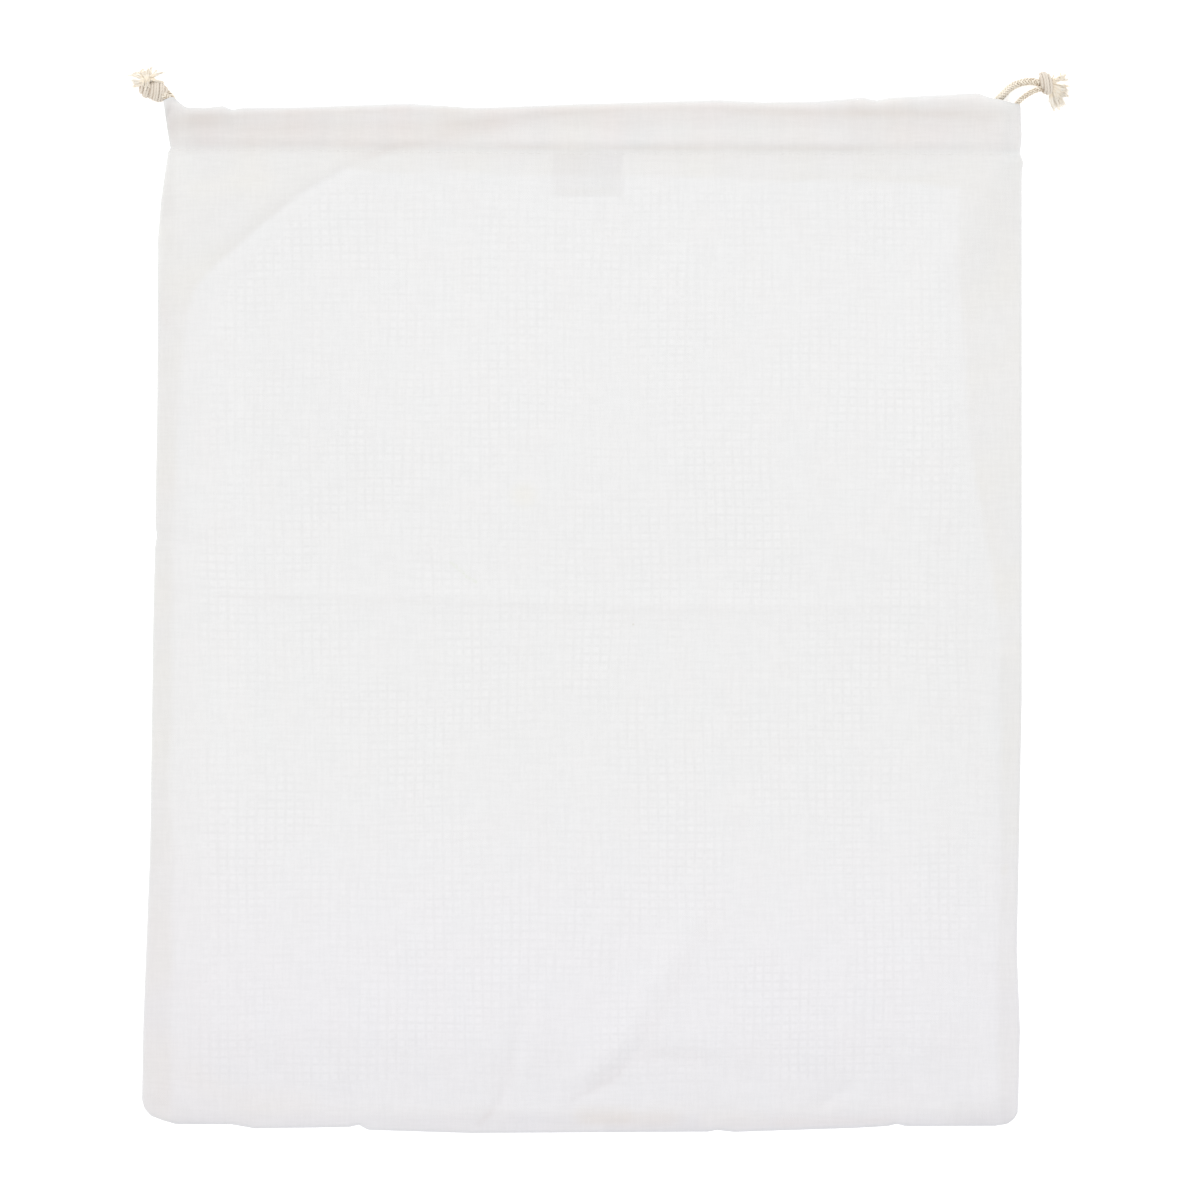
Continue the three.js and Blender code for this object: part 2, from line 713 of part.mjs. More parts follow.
// The strands of a frayed end. Each leaves the root, comes down to the surface and lies on it.
function fanStrands(root, { from, to, count, lengths, thick }) {
  return Array.from({ length: count }, (_, i) => {
    const turn = degToRad(lerp(from, to, i / (count - 1)));
    const reach = lengths[i % lengths.length];
    const [dx, dy] = [Math.cos(turn), Math.sin(turn)];
    const rings = [-0.35, 0.12, 0.4, 0.7, 1].map((share) => {
      const radius = lerp(thick, thick * 0.55, Math.max(0, share));
      const fall = smooth(Math.max(0, share) / 0.7);
      const z = lerp(root[2], radius, fall);
      const bow = 0.4 * Math.sin(3 * share + i);
      const [x, y] = [root[0] + share * reach * dx - bow * dy, root[1] + share * reach * dy + bow * dx];
      return [-1, -1, 1, 1].map((side, k) => {
        const lift = k === 0 || k === 3 ? -radius : radius;
        return [x + side * radius * dy, y - side * radius * dx, Math.max(0, z + lift)];
      });
    });
    return loft(rings);
  });
}

const KNOT_LEFT = {
  centre: [-149.4, 181.7, 3.9],
  axisTurn: 143,
  length: 9.6,
  wide: 7.4,
  high: 7.8,
  turns: 4,
  root: [-151.9, 184.6, 3.4],
  fan: { from: -14, to: 212, count: 14, lengths: [6.6, 5.4, 6.9, 5.9], thick: 0.5 },
};
const KNOT_RIGHT = {
  centre: [161.1, 183.2, 3.5],
  axisTurn: -16,
  length: 5.2,
  wide: 7.4,
  high: 7.0,
  turns: 3,
  root: [163.0, 182.4, 3.2],
  fan: { from: 34, to: -88, count: 12, lengths: [6.4, 6.9, 6.2, 7.3, 8.2], thick: 0.5 },
};

// Finishes
function finish(color, roughness) {
  return new THREE.MeshStandardMaterial({ color, roughness, metalness: 0 });
}
const whiteCotton = finish(0xf2f0ee, 0.95);
const netCotton = finish(0xefeeec, 0.95);
const labelTape = finish(0xf4f2f0, 0.85);
const rawCotton = finish(0xe6d9c6, 0.9);

const bag = new THREE.Group();

function place(name, solid, material) {
  const geometry = solid.isBufferGeometry ? solid : manifoldToGeometry(solid);
  const mesh = new THREE.Mesh(geometry, material);
  mesh.name = name;
  bag.add(mesh);
}

place("cotton_panel", cottonPanel(), whiteCotton);
place("back_casing", backCasing(), whiteCotton);
place("net_panel", netPanel(), netCotton);
place("label", label(), labelTape);
place("drawcord_left", cordTube(ROUTE_LEFT, CORD / 2), rawCotton);
place("drawcord_right", cordTube(ROUTE_RIGHT, CORD / 2), rawCotton);
place("knot_left", knot(KNOT_LEFT), rawCotton);
place("knot_right", knot(KNOT_RIGHT), rawCotton);

export default bag;
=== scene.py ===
# %% [markdown]
# # A cotton produce bag, lying flat
# The bag in this lesson is about as simple as sewing gets: a thin muslin front, a net back, a casing
# at the mouth and two braided cords. Its looks are all in small things. The front is so thin that
# whatever lies under it shows as a faint change of tone, so this lesson builds the real cloth, net and
# cords, and also teaches the muslin what lies behind each point of it.
#
# All lengths in the tables are millimetres, because a sewing pattern is. Blender works in metres, and
# one constant turns the one into the other.

# %% Load the frame
import math

import bpy
import numpy as np
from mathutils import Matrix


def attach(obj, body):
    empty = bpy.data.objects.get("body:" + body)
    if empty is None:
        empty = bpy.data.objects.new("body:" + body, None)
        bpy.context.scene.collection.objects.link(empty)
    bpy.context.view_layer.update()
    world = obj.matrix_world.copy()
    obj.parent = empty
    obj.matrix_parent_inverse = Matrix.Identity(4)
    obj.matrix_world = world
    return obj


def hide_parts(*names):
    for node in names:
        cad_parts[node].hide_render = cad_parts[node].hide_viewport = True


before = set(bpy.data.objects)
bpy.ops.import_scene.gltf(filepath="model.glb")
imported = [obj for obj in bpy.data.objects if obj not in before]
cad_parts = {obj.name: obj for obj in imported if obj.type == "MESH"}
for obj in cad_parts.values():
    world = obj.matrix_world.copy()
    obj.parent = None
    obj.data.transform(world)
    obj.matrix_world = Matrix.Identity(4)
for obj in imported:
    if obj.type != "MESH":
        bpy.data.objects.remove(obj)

MM = 0.001
FULL_TURN = 2 * math.pi
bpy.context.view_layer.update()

# %% [markdown]
# ## The camera
# The photograph was taken from straight above. A long lens keeps the thick casing from leaning
# outwards in the picture, as it does with the long lens of a product photographer. The frame is
# 416.2 mm wide on the table, and its middle lies a little right of and above the bag's.

# %% Camera
FRAME_WIDTH = 416.2 * MM
FRAME_CENTRE = (6.0 * MM, 4.7 * MM)
SENSOR = 36.0
LENS = 400.0


def add_camera():
    """A camera that looks straight down at the bag."""
    data = bpy.data.cameras.new("overhead_camera")
    data.sensor_width = SENSOR
    data.lens = LENS
    camera = bpy.data.objects.new("overhead_camera", data)
    camera.location = (*FRAME_CENTRE, FRAME_WIDTH * LENS / SENSOR)
    bpy.context.scene.collection.objects.link(camera)
    bpy.context.scene.camera = camera
    return camera


camera = add_camera()
print("camera height", round(camera.location.z, 3), "m")

# %% [markdown]
# ## Making meshes
# Every piece here is built from rows of points: along a cord, across a cloth or round a strand. One
# helper turns an array of points into a mesh object, and another lists the faces between the rows of
# a grid. numpy does the sums for thousands of points at once.

# %% Mesh helpers
def new_piece(name, points, faces, node=None, attributes=None):
    """A smooth-shaded mesh object from points in millimetres. It rides on the bag's one body.

    A face is four corners. Where the last one is doubled, as in a tube's end, it is a triangle."""
    mesh = bpy.data.meshes.new(name)
    corners = [face[:3] if face[2] == face[3] else face for face in np.asarray(faces).tolist()]
    mesh.from_pydata((np.asarray(points) * MM).tolist(), [], corners)
    mesh.polygons.foreach_set("use_smooth", [True] * len(mesh.polygons))
    for label, values in (attributes or {}).items():
        values = np.asarray(values, dtype=np.float32)
        if values.ndim == 1:
            layer = mesh.attributes.new(label, "FLOAT", "POINT")
            layer.data.foreach_set("value", values)
        else:
            layer = mesh.attributes.new(label, "FLOAT_COLOR", "POINT")
            opaque = np.column_stack([values, np.ones(len(values), dtype=np.float32)])
            layer.data.foreach_set("color", opaque.ravel())
    mesh.update()
    piece = bpy.data.objects.new(name, mesh)
    bpy.context.scene.collection.objects.link(piece)
    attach(piece, "root")
    if node:
        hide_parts(node)
    return piece


def grid_faces(rows, columns, closed=False, start=0):
    """Quads between rows of points. A closed grid joins its last column to its first."""
    across = columns if closed else columns - 1
    j, i = np.meshgrid(np.arange(rows - 1), np.arange(across), indexing="ij")
    j, i = j.ravel(), i.ravel()
    after = (i + 1) % columns
    quads = (j * columns + i, j * columns + after, (j + 1) * columns + after, (j + 1) * columns + i)
    return np.stack(quads, axis=1) + start


def join(parts):
    """Several tubes as one: their points, their faces, and each point's painted shade and tone."""
    points, faces, shades_and_tones, start = [], [], [], 0
    for part_points, part_faces, part_shade_and_tone in parts:
        points.append(part_points)
        faces.append(np.asarray(part_faces) + start)
        shades_and_tones.append(np.broadcast_to(part_shade_and_tone, len(part_points)))
        start += len(part_points)
    return np.vstack(points), np.vstack(faces), np.concatenate(shades_and_tones)


def unit(vectors):
    """Rows of vectors made 1 long."""
    return vectors / np.linalg.norm(vectors, axis=1, keepdims=True)


print("mesh helpers ready")

# %% [markdown]
# ## Soft steps and gentle waves
# Cloth has no hard edges and no straight lines. Two small functions stand for that all through the
# lesson: an even step from 0 to 1, and a sum of waves in random directions. The dice for the waves are
# seeded, so the bag looks the same in each render.

# %% Steps and waves
RIPPLE_WAVES = 14
RIPPLE_STRETCH = (0.7, 1.5)


def smooth(t):
    """0 below 0, 1 above 1, and an even S between them."""
    held = np.clip(t, 0.0, 1.0)
    return held * held * (3.0 - 2.0 * held)


def ripple(x, y, size, seed):
    """Random waves from about -1 to 1, a size apart."""
    dice = np.random.default_rng(seed)
    turns = dice.uniform(0, FULL_TURN, RIPPLE_WAVES)
    phases = dice.uniform(0, FULL_TURN, RIPPLE_WAVES)
    stretches = dice.uniform(*RIPPLE_STRETCH, RIPPLE_WAVES)
    total = np.zeros(np.broadcast(x, y).shape)
    for turn, phase, stretch in zip(turns, phases, stretches):
        along = x * np.cos(turn) + y * np.sin(turn)
        total += np.sin(FULL_TURN * along / (size * stretch) + phase)
    return total / np.sqrt(RIPPLE_WAVES)


print("a wave's height at one place:", ripple(10.0, 20.0, 30, 1).round(3))

# %% [markdown]
# ## The cords' routes
# Each cord is threaded through the front casing and back through the rear one, and its two ends meet
# in a knot outside one corner. So a pull on both knots closes the mouth. The lists follow the middle
# of each cord from knot to knot: out of the knot, along one casing, round the far corner and back.

# %% Routes
ROUTE_LEFT = [
    (-146.6, 180.6, 5.6), (-144.2, 178.9, 5.9), (-140.6, 176.3, 6.8), (-136.0, 173.6, 7.9),
    (-130.0, 171.6, 8.7), (-124.0, 170.9, 8.95), (-110.0, 170.8, 9.8), (-95.0, 170.9, 11.2),
    (-80.0, 171.1, 12.5), (-65.0, 171.3, 13.1), (-28.0, 171.6, 13.1), (0.0, 172.7, 13.1),
    (35.0, 173.2, 13.1), (65.0, 173.2, 13.1), (80.0, 173.2, 12.5), (95.0, 173.2, 11.2),
    (110.0, 173.6, 9.8), (124.0, 174.3, 8.95), (132.0, 174.7, 8.9), (137.4, 173.8, 8.2),
    (141.0, 170.6, 6.6), (141.4, 166.4, 4.8), (137.8, 163.1, 3.3), (132.0, 162.1, 2.85),
    (125.0, 162.2, 2.85), (90.0, 162.1, 2.85), (45.0, 162.1, 2.85), (0.0, 162.3, 2.85),
    (-50.0, 162.9, 2.85), (-95.0, 163.3, 2.85), (-124.0, 163.5, 2.85), (-131.0, 163.2, 2.85),
    (-137.0, 163.5, 2.6), (-140.4, 166.2, 2.5), (-141.1, 171.0, 2.6), (-141.4, 175.4, 2.7),
    (-143.0, 179.2, 2.8), (-145.6, 181.6, 2.7),
]
ROUTE_RIGHT = [
    (158.6, 183.9, 2.6), (155.3, 184.5, 2.0), (151.7, 184.0, 1.8), (148.2, 182.3, 1.9),
    (145.2, 179.4, 2.6), (141.6, 176.2, 2.85), (136.6, 174.2, 2.85), (130.0, 173.6, 2.85),
    (100.0, 172.9, 2.85), (60.0, 172.2, 2.85), (0.0, 171.5, 2.85), (-60.0, 170.9, 2.85),
    (-118.0, 170.5, 2.85), (-126.0, 170.8, 2.85), (-132.0, 171.6, 3.2), (-136.2, 170.2, 4.2),
    (-137.6, 166.8, 5.9), (-135.6, 163.8, 7.6), (-130.6, 163.2, 8.6), (-124.0, 163.6, 8.95),
    (-110.0, 163.3, 9.8), (-95.0, 163.1, 11.2), (-80.0, 162.9, 12.5), (-65.0, 162.7, 13.1),
    (0.0, 162.1, 13.1), (65.0, 162.0, 13.1), (80.0, 162.0, 12.5), (95.0, 162.0, 11.2),
    (110.0, 162.0, 9.8), (124.0, 162.0, 8.95), (131.5, 162.1, 8.8), (138.4, 162.3, 8.2),
    (144.2, 163.9, 7.2), (147.5, 167.8, 5.8), (148.7, 172.2, 4.7), (150.2, 176.2, 3.8),
    (152.7, 178.9, 3.3), (156.0, 180.9, 3.9), (159.2, 182.0, 5.4),
]
print("places on the routes:", len(ROUTE_LEFT), "and", len(ROUTE_RIGHT))

# %% [markdown]
# ### From a route to a smooth path
# A cord bends evenly between the places of its route. A centripetal Catmull-Rom curve goes through all
# of them and doesn't overshoot, even where a long straight stretch meets a tight bend. The curve is
# then cut into steps of one length, because the braid is wound by the millimetre.

# %% Smooth paths
ROUTE_STEP = 0.3
CURVE_POINTS = 24


def distances(path):
    """How far along a path each of its points lies."""
    return np.concatenate([[0.0], np.cumsum(np.linalg.norm(np.diff(path, axis=0), axis=1))])


def smooth_route(route, step):
    """Points a step apart on the smooth curve through a route."""
    p = np.array(route, dtype=float)
    p = np.vstack([2 * p[0] - p[1], p, 2 * p[-1] - p[-2]])
    dense = []
    for a, b, c, d in zip(p, p[1:], p[2:], p[3:]):
        roots = [math.sqrt(np.linalg.norm(v - u)) for u, v in ((a, b), (b, c), (c, d))]
        t0, t1, t2, t3 = np.cumsum([0.0] + roots)
        t = np.linspace(t1, t2, CURVE_POINTS, endpoint=False)[:, None]
        ab = (t1 - t) / (t1 - t0) * a + (t - t0) / (t1 - t0) * b
        bc = (t2 - t) / (t2 - t1) * b + (t - t1) / (t2 - t1) * c
        cd = (t3 - t) / (t3 - t2) * c + (t - t2) / (t3 - t2) * d
        abc = (t2 - t) / (t2 - t0) * ab + (t - t0) / (t2 - t0) * bc
        bcd = (t3 - t) / (t3 - t1) * bc + (t - t1) / (t3 - t1) * cd
        dense.append((t2 - t) / (t2 - t1) * abc + (t - t1) / (t2 - t1) * bcd)
    dense = np.vstack(dense + [p[-2][None]])
    along = distances(dense)
    count = max(2, int(round(along[-1] / step)))
    wanted = np.linspace(0.0, along[-1], count + 1)
    return np.stack([np.interp(wanted, along, dense[:, k]) for k in range(3)], axis=1)


def path_length(path):
    """The length of a path as one number."""
    return float(np.linalg.norm(np.diff(path, axis=0), axis=1).sum())


left_path = smooth_route(ROUTE_LEFT, ROUTE_STEP)
right_path = smooth_route(ROUTE_RIGHT, ROUTE_STEP)
print("cord lengths", round(path_length(left_path)), "and", round(path_length(right_path)), "mm")

# %% [markdown]
# ## Tubes
# Cords, plies, yarns, net threads and stitches are all round, thin and long, so one helper makes them all.
# It sets a ring of points round each place of a path. The rings must not turn on the way, or the tube would
# look wrung out, so each ring takes over the direction of the last one. Every point also keeps a number for
# how much painted shade it gets, deep in a groove and on its flanks, plus any tone of its own, and the
# cords' material paints those points darker.

# %% Tubes
def frames_along(path):
    """For each point of a path: the way it runs, and two directions across it that don't twist."""
    run = unit(np.gradient(path, axis=0))
    side = np.cross(run[0], (0.0, 0.0, 1.0))
    if np.linalg.norm(side) < 0.1:
        side = np.cross(run[0], (0.0, 1.0, 0.0))
    sides = [side / np.linalg.norm(side)]
    for direction in run[1:]:
        side = sides[-1] - direction * np.dot(sides[-1], direction)
        sides.append(side / np.linalg.norm(side))
    sides = np.array(sides)
    return run, sides, np.cross(run, sides)


def tube(path, wide, high, sides, across=None, out=None, shade_and_tone=0.0, flank_shading=0.0):
    """A closed tube of half sizes wide and high. Its section's axes can be given point by point.

    The groove value is the tube's painted shade, as deep in a groove, plus any tone of its own, and the
    flank value adds more painted shade to its flanks."""
    path = np.asarray(path, dtype=float)
    if across is None:
        _, across, out = frames_along(path)
    turn = FULL_TURN * (np.arange(sides) + 0.5) / sides
    wide = np.broadcast_to(wide, len(path))[:, None, None]
    high = np.broadcast_to(high, len(path))[:, None, None]
    ring = across[:, None] * wide * np.cos(turn)[None, :, None]
    ring = ring + out[:, None] * high * np.sin(turn)[None, :, None]
    points = (path[:, None] + ring).reshape(-1, 3)
    points = np.vstack([points, path[:1], path[-1:]])
    shade_depth = np.broadcast_to(shade_and_tone, len(path))[:, None] + flank_shading * (0.5 - 0.5 * np.sin(turn))[None, :]
    shade_depth = np.concatenate([shade_depth.ravel(), shade_depth[0, :1], shade_depth[-1, :1]])
    base = (len(path) - 1) * sides
    here = np.arange(sides)
    after = (here + 1) % sides
    first = np.stack([np.full(sides, base + sides), after, here, here], axis=1)
    last = np.stack([np.full(sides, base + sides + 1), base + here, base + after, base + after], axis=1)
    return points, np.vstack([grid_faces(len(path), sides, closed=True), first, last]), shade_depth


print("points of a short tube:", len(tube(left_path[:5], 1.0, 1.0, 6)[0]))

# %% [markdown]
# ## The braid
# A drawcord is a round braid: six strands wind to the right, six to the left, and each goes over two and
# under two of the others, which gives the small V marks. A strand here follows a helix whose radius swells
# where it passes over and shrinks where it passes under. It is also painted darker where it passes under and
# on its flanks, as shade, and the core between the strands is painted dark as shade. A few strands are a
# little darker than the rest, as spun cotton is.

# %% Braid
BRAID_PITCH = 6.2
BRAID_STRANDS = 6
BRAID_RADIUS = 1.04
BRAID_WEAVE = 0.19
BRAID_CORE = 0.8
STRAND_WIDE = 0.32
STRAND_HIGH = 0.22
STRAND_TONES = [-0.15, 0.2, 0.0, 0.32, -0.15, 0.1]
UNDER_SHADE = 0.34
FLANK_SHADE = 0.55


def wound_strand(path, slim, way, number, painted_light):
    """One strand of a braid. It winds round a path, over and under the strands that cross it."""
    _, side, up = frames_along(path)
    along = distances(path)
    turn = FULL_TURN * (way / BRAID_PITCH) * along + FULL_TURN * number / BRAID_STRANDS
    out = side * np.cos(turn)[:, None] + up * np.sin(turn)[:, None]
    first_lift = np.pi * number - way * np.pi / 4 + (0 if way > 0 else np.pi)
    lift = np.cos(FULL_TURN * along / (2 * BRAID_PITCH / BRAID_STRANDS) + first_lift)
    middle = path + out * (BRAID_RADIUS * slim + BRAID_WEAVE * lift)[:, None]
    run = unit(np.gradient(middle, axis=0))
    across = unit(np.cross(out, run))
    # The strand's own tone, less the painted light near the cloth, plus painted shade where it passes under
    tone = STRAND_TONES[number if way > 0 else BRAID_STRANDS - 1 - number] - painted_light
    shade_and_tone = tone + UNDER_SHADE * (1 - lift)
    wide = STRAND_WIDE * slim
    return tube(middle, wide, STRAND_HIGH, 6, across, np.cross(run, across), shade_and_tone, FLANK_SHADE)


def braid(path, slim, painted_light):
    """A round braid of twelve strands on a core painted dark, as shade between the strands."""
    parts = [tube(path, BRAID_CORE * slim, BRAID_CORE * slim, 8, shade_and_tone=1.0 - painted_light)]
    for number in range(BRAID_STRANDS):
        for way in (1, -1):
            parts.append(wound_strand(path, slim, way, number, painted_light))
    return parts


print("a braid has", 2 * BRAID_STRANDS, "strands and turns once in", BRAID_PITCH, "mm")

# %% [markdown]
# ## The drawcords
# Only the ends of a cord can be seen, so the braid is modelled there, and the stretch inside the casing
# stays a plain tube, pressed a little thinner where it turns the corners. The strands that come out of
# the bag aren't equally thick in the photograph either, so a short table says how thick each end is.

# %% Drawcords
CORD = 2.8
END_STRETCH = 22.0
PLAIN_STEP = 2.0
PLAIN_SLIM = 0.78
PLAIN_TONE = 0.4
SLIM_STRETCH = 30.0
# How thick an end is, as a share of the full cord, at distances from its knot
FULL_END = [(0.0, 1.0), (22.0, 1.0)]
PRESSED_END = [(0.0, 1.0), (2.5, 1.0), (5.5, 0.5), (12.5, 0.5), (17.0, 0.78)]
THIN_END = [(0.0, 0.64), (12.0, 0.64), (18.0, 0.78)]
# How much lighter the cord is painted at distances from its knot: painted light near the cloth, against the
# shade that falls there
PAINTED_LIGHT_NEAR_CLOTH = [(0.0, 0.0), (7.0, 0.05), (15.0, 0.5), (22.0, 0.5)]


def drawcord(name, path, node, start_end, far_end):
    """A cord with braided ends and a plain middle."""
    along = np.linspace(0.0, path_length(path), len(path))
    from_end = np.minimum(along, along[-1] - along)
    start = along <= END_STRETCH
    end = along >= along[-1] - END_STRETCH
    middle = np.flatnonzero(from_end >= END_STRETCH - 1)
    middle = middle[np.linspace(0, len(middle) - 1, int(along[-1] / PLAIN_STEP)).astype(int)]
    slimmed = smooth(1.5 - (from_end[middle] - END_STRETCH) / SLIM_STRETCH)
    size = CORD / 2 * (1 - (1 - PLAIN_SLIM) * slimmed)
    parts = []
    for stretch, widths in ((start, start_end), (end, far_end)):
        slim = np.interp(from_end[stretch], *zip(*widths))
        # The braided ends get painted light near the cloth
        parts += braid(path[stretch], slim, np.interp(from_end[stretch], *zip(*PAINTED_LIGHT_NEAR_CLOTH)))
    parts.append(tube(path[middle], size, size, 12, shade_and_tone=PLAIN_TONE))
    points, faces, shade_and_tone = join(parts)
    return new_piece(name, points, faces, node, {"shade_and_tone": shade_and_tone})


cord_left = drawcord("cord_left", left_path, "drawcord_left", PRESSED_END, FULL_END)
cord_right = drawcord("cord_right", right_path, "drawcord_right", FULL_END, THIN_END)
print("faces in a cord:", len(cord_left.data.polygons))

# %% [markdown]
# ## The knots
# Each knot is the pair of cord ends wound round themselves and pulled tight. Close up, a turn isn't
# smooth: the cord is pressed flat and shows two thick plies side by side, and each ply is a twist of
# three strands. So a turn is built from twisted plies that follow one winding path. A sculpted lump
# with a bump map would lose the dark gaps between the turns.

# %% Knot tables
# A knot has one or two bands of turns. Each band has a place, an axis that lies flat and is turned from
# +X by some degrees, its length along that axis and its width and height across it. Then come the
# number of turns, the angle of the first, how far the turns lean and bow, how loosely they lie, and
# its barrel: the smaller that is, the more its ends are rounded off.
KNOT_RIGHT = [
    dict(
        centre=(160.4, 183.8, 3.6), axis_turn=-2, length=4.4, wide=8.2, high=7.0,
        turns=2.4, start=4.4, lean=0.26, bow=0.6, loose=0.06, barrel=0.72,
    ),
]
KNOT_LEFT = [
    dict(
        centre=(-147.7, 181.1, 3.9), axis_turn=170, length=7.0, wide=7.7, high=7.6,
        turns=3.8, start=3.9, lean=0.17, bow=-0.6, loose=0.07, barrel=0.57,
    ),
    dict(
        centre=(-151.0, 181.8, 3.5), axis_turn=166, length=4.2, wide=6.6, high=6.6,
        turns=2.1, start=4.9, lean=0.1, bow=0.2, loose=0.08, barrel=0.62,
    ),
]
print("bands in the knots:", len(KNOT_RIGHT), "and", len(KNOT_LEFT))

# %% [markdown]
# ### Winding the plies
# A ply is laid on a winding path first, and its three strands are twisted round that path afterwards.
# No hand winds evenly, so each ply wanders and swells a little. The core is the cord inside the turns: it
# closes the gaps between them, so that no light comes through the knot, and it is painted dark, as the shade
# in those gaps.

# %% Windings
PLY_TWIST = 3.2
PLY_RADIUS = 0.25
PLY_STRAND = 0.33
PLY_SHADE = 0.16
PLY_FLANK = 0.4
TURN_POINTS = 52
CORE_POINTS = 14
CORE_INSET = 0.7
CORE_SHARE = 0.6
CORE_SHADE = 0.6


def knot_axes(axis_turn):
    """The axis of a band, the way across it, and up."""
    turn = math.radians(axis_turn)
    axis = np.array([math.cos(turn), math.sin(turn), 0.0])
    return axis, np.array([math.sin(turn), -math.cos(turn), 0.0]), np.array([0.0, 0.0, 1.0])


def twisted_ply(path, out, start, thickness):
    """Three strands that twist round a path, like a small rope."""
    way = np.gradient(path, axis=0)
    steps = np.linalg.norm(way, axis=1, keepdims=True)
    way = way / steps
    side = unit(np.cross(out, way))
    out = np.cross(way, side)
    along = np.cumsum(steps[:, 0])
    size = PLY_STRAND * thickness
    parts = []
    for k in range(3):
        turn = FULL_TURN * (along / PLY_TWIST + k / 3) + start
        offset = side * np.cos(turn)[:, None] + out * np.sin(turn)[:, None]
        strand = path + PLY_RADIUS * thickness * offset
        strand[:, 2] = np.maximum(strand[:, 2], PLY_STRAND)
        shade_and_tone = PLY_SHADE * (1 - np.sin(turn))
        parts.append(tube(strand, size, size, 6, side, out, shade_and_tone, PLY_FLANK))
    return parts


def wound_band(centre, axis_turn, length, wide, high, turns, start, lean, bow, loose, barrel, dice):
    """A pair of plies wound round an axis that lies flat."""
    axis, aside, up = knot_axes(axis_turn)
    t = np.linspace(0.0, 1.0, int(turns * TURN_POINTS))
    angle = start + FULL_TURN * turns * t
    pitch = length / turns
    taper = np.minimum(1.0, 0.35 + 3.2 * np.sin(np.pi * t))
    reach = PLY_RADIUS + PLY_STRAND
    parts = []
    for offset in (-0.5, 0.5):
        wander = loose * np.sin(angle * dice.uniform(0.5, 1.4) + dice.uniform(0, 6))
        swell = loose * 1.6 * np.sin(angle * dice.uniform(0.4, 0.9) + dice.uniform(0, 6))
        along = (t - 0.5) * length + (offset * 0.5 + wander) * pitch
        along = along * (0.5 + 0.5 * taper)
        round_off = np.sqrt(1 - np.minimum(np.abs(along) / (barrel * length), 0.9) ** 2)
        across = (wide / 2 * taper * round_off - reach + swell) * np.cos(angle)
        rise = (high / 2 * taper * round_off - reach + swell) * np.sin(angle)
        along = along + lean * across + bow * np.maximum(np.sin(angle), 0)
        path = np.array(centre) + along[:, None] * axis + across[:, None] * aside + rise[:, None] * up
        path[:, 2] = np.maximum(path[:, 2], reach)
        out = np.cos(angle)[:, None] * aside + np.sin(angle)[:, None] * up
        parts.extend(twisted_ply(path, out, dice.uniform(0, 6), dice.uniform(0.94, 1.06)))
    return parts


def band_core(centre, axis_turn, length, wide, high, lean, bow):
    """The cord inside a band, which closes the gaps between its turns and is painted dark as their shade."""
    axis, aside, up = knot_axes(axis_turn)
    share = np.linspace(-0.5, 0.5, CORE_POINTS)
    path = np.array(centre) + (share[:, None] * length + 0.5 * bow) * axis
    size = np.sqrt(np.clip(1 - (share / CORE_SHARE) ** 2, 0.05, 1.0))
    across = np.broadcast_to(-aside - lean * axis, path.shape)
    rise = np.broadcast_to(up, path.shape)
    half_wide = (wide / 2 - CORE_INSET) * size
    half_high = (high / 2 - CORE_INSET) * size
    return tube(path, half_wide, half_high, 16, across, rise, CORE_SHADE)


print("a turn of a knot has", TURN_POINTS, "points")

# %% [markdown]
# ## Frayed ends
# Past each knot the cord comes apart into its yarns. A yarn is a soft, thick thread that keeps the
# waves of the braid, thins out and ends in a curl, with a few loose fibres along it. Short tables say
# where each tuft of yarns starts and ends, and seeded random numbers spread the yarns in a tuft, so
# the frays look the same in each render.

# %% Fray tables
# Each tuft: where it starts, where its tip lies, how many yarns, how far they spread, their crimp and
# how far they bend aside
TUFTS_RIGHT = [
    ((162.6, 184.0, 4.6), (167.6, 186.3, 1.6), 12, 0.28, 0.06, -0.3),
    ((165.6, 185.2, 2.2), (168.5, 185.2, 1.2), 4, 0.3, 0.05, 0.4),
    ((162.8, 183.4, 4.2), (169.7, 182.6, 1.2), 4, 0.3, 0.08, 0.3),
    ((162.6, 183.0, 4.4), (168.9, 181.3, 1.4), 13, 0.5, 0.10, -0.2),
    ((162.8, 182.4, 4.2), (168.7, 179.2, 1.0), 15, 0.5, 0.10, 0.2),
    ((162.8, 182.0, 3.8), (167.2, 178.0, 0.9), 12, 0.6, 0.12, 0.0),
    ((162.8, 181.6, 3.8), (167.2, 175.9, 0.7), 14, 0.45, 0.12, -0.2),
    ((162.8, 181.4, 3.6), (165.4, 174.6, 0.6), 13, 0.45, 0.10, -0.2),
    ((162.6, 181.2, 3.6), (164.6, 176.6, 0.8), 8, 0.4, 0.10, 0.0),
    ((162.4, 181.0, 3.6), (163.8, 174.2, 0.6), 13, 0.35, 0.10, 0.3),
    ((162.2, 181.0, 3.0), (162.9, 175.8, 0.8), 3, 0.2, 0.08, 0.2),
]
HAIRS_RIGHT = [
    ((163.6, 184.8, 4.8), (165.8, 187.5, 3.0), 0.3, 0.4),
    ((163.0, 184.6, 4.8), (163.2, 186.6, 3.6), 0.2, -0.3),
    ((161.4, 180.2, 4.2), (162.7, 177.3, 1.4), 0.1, -0.9),
]
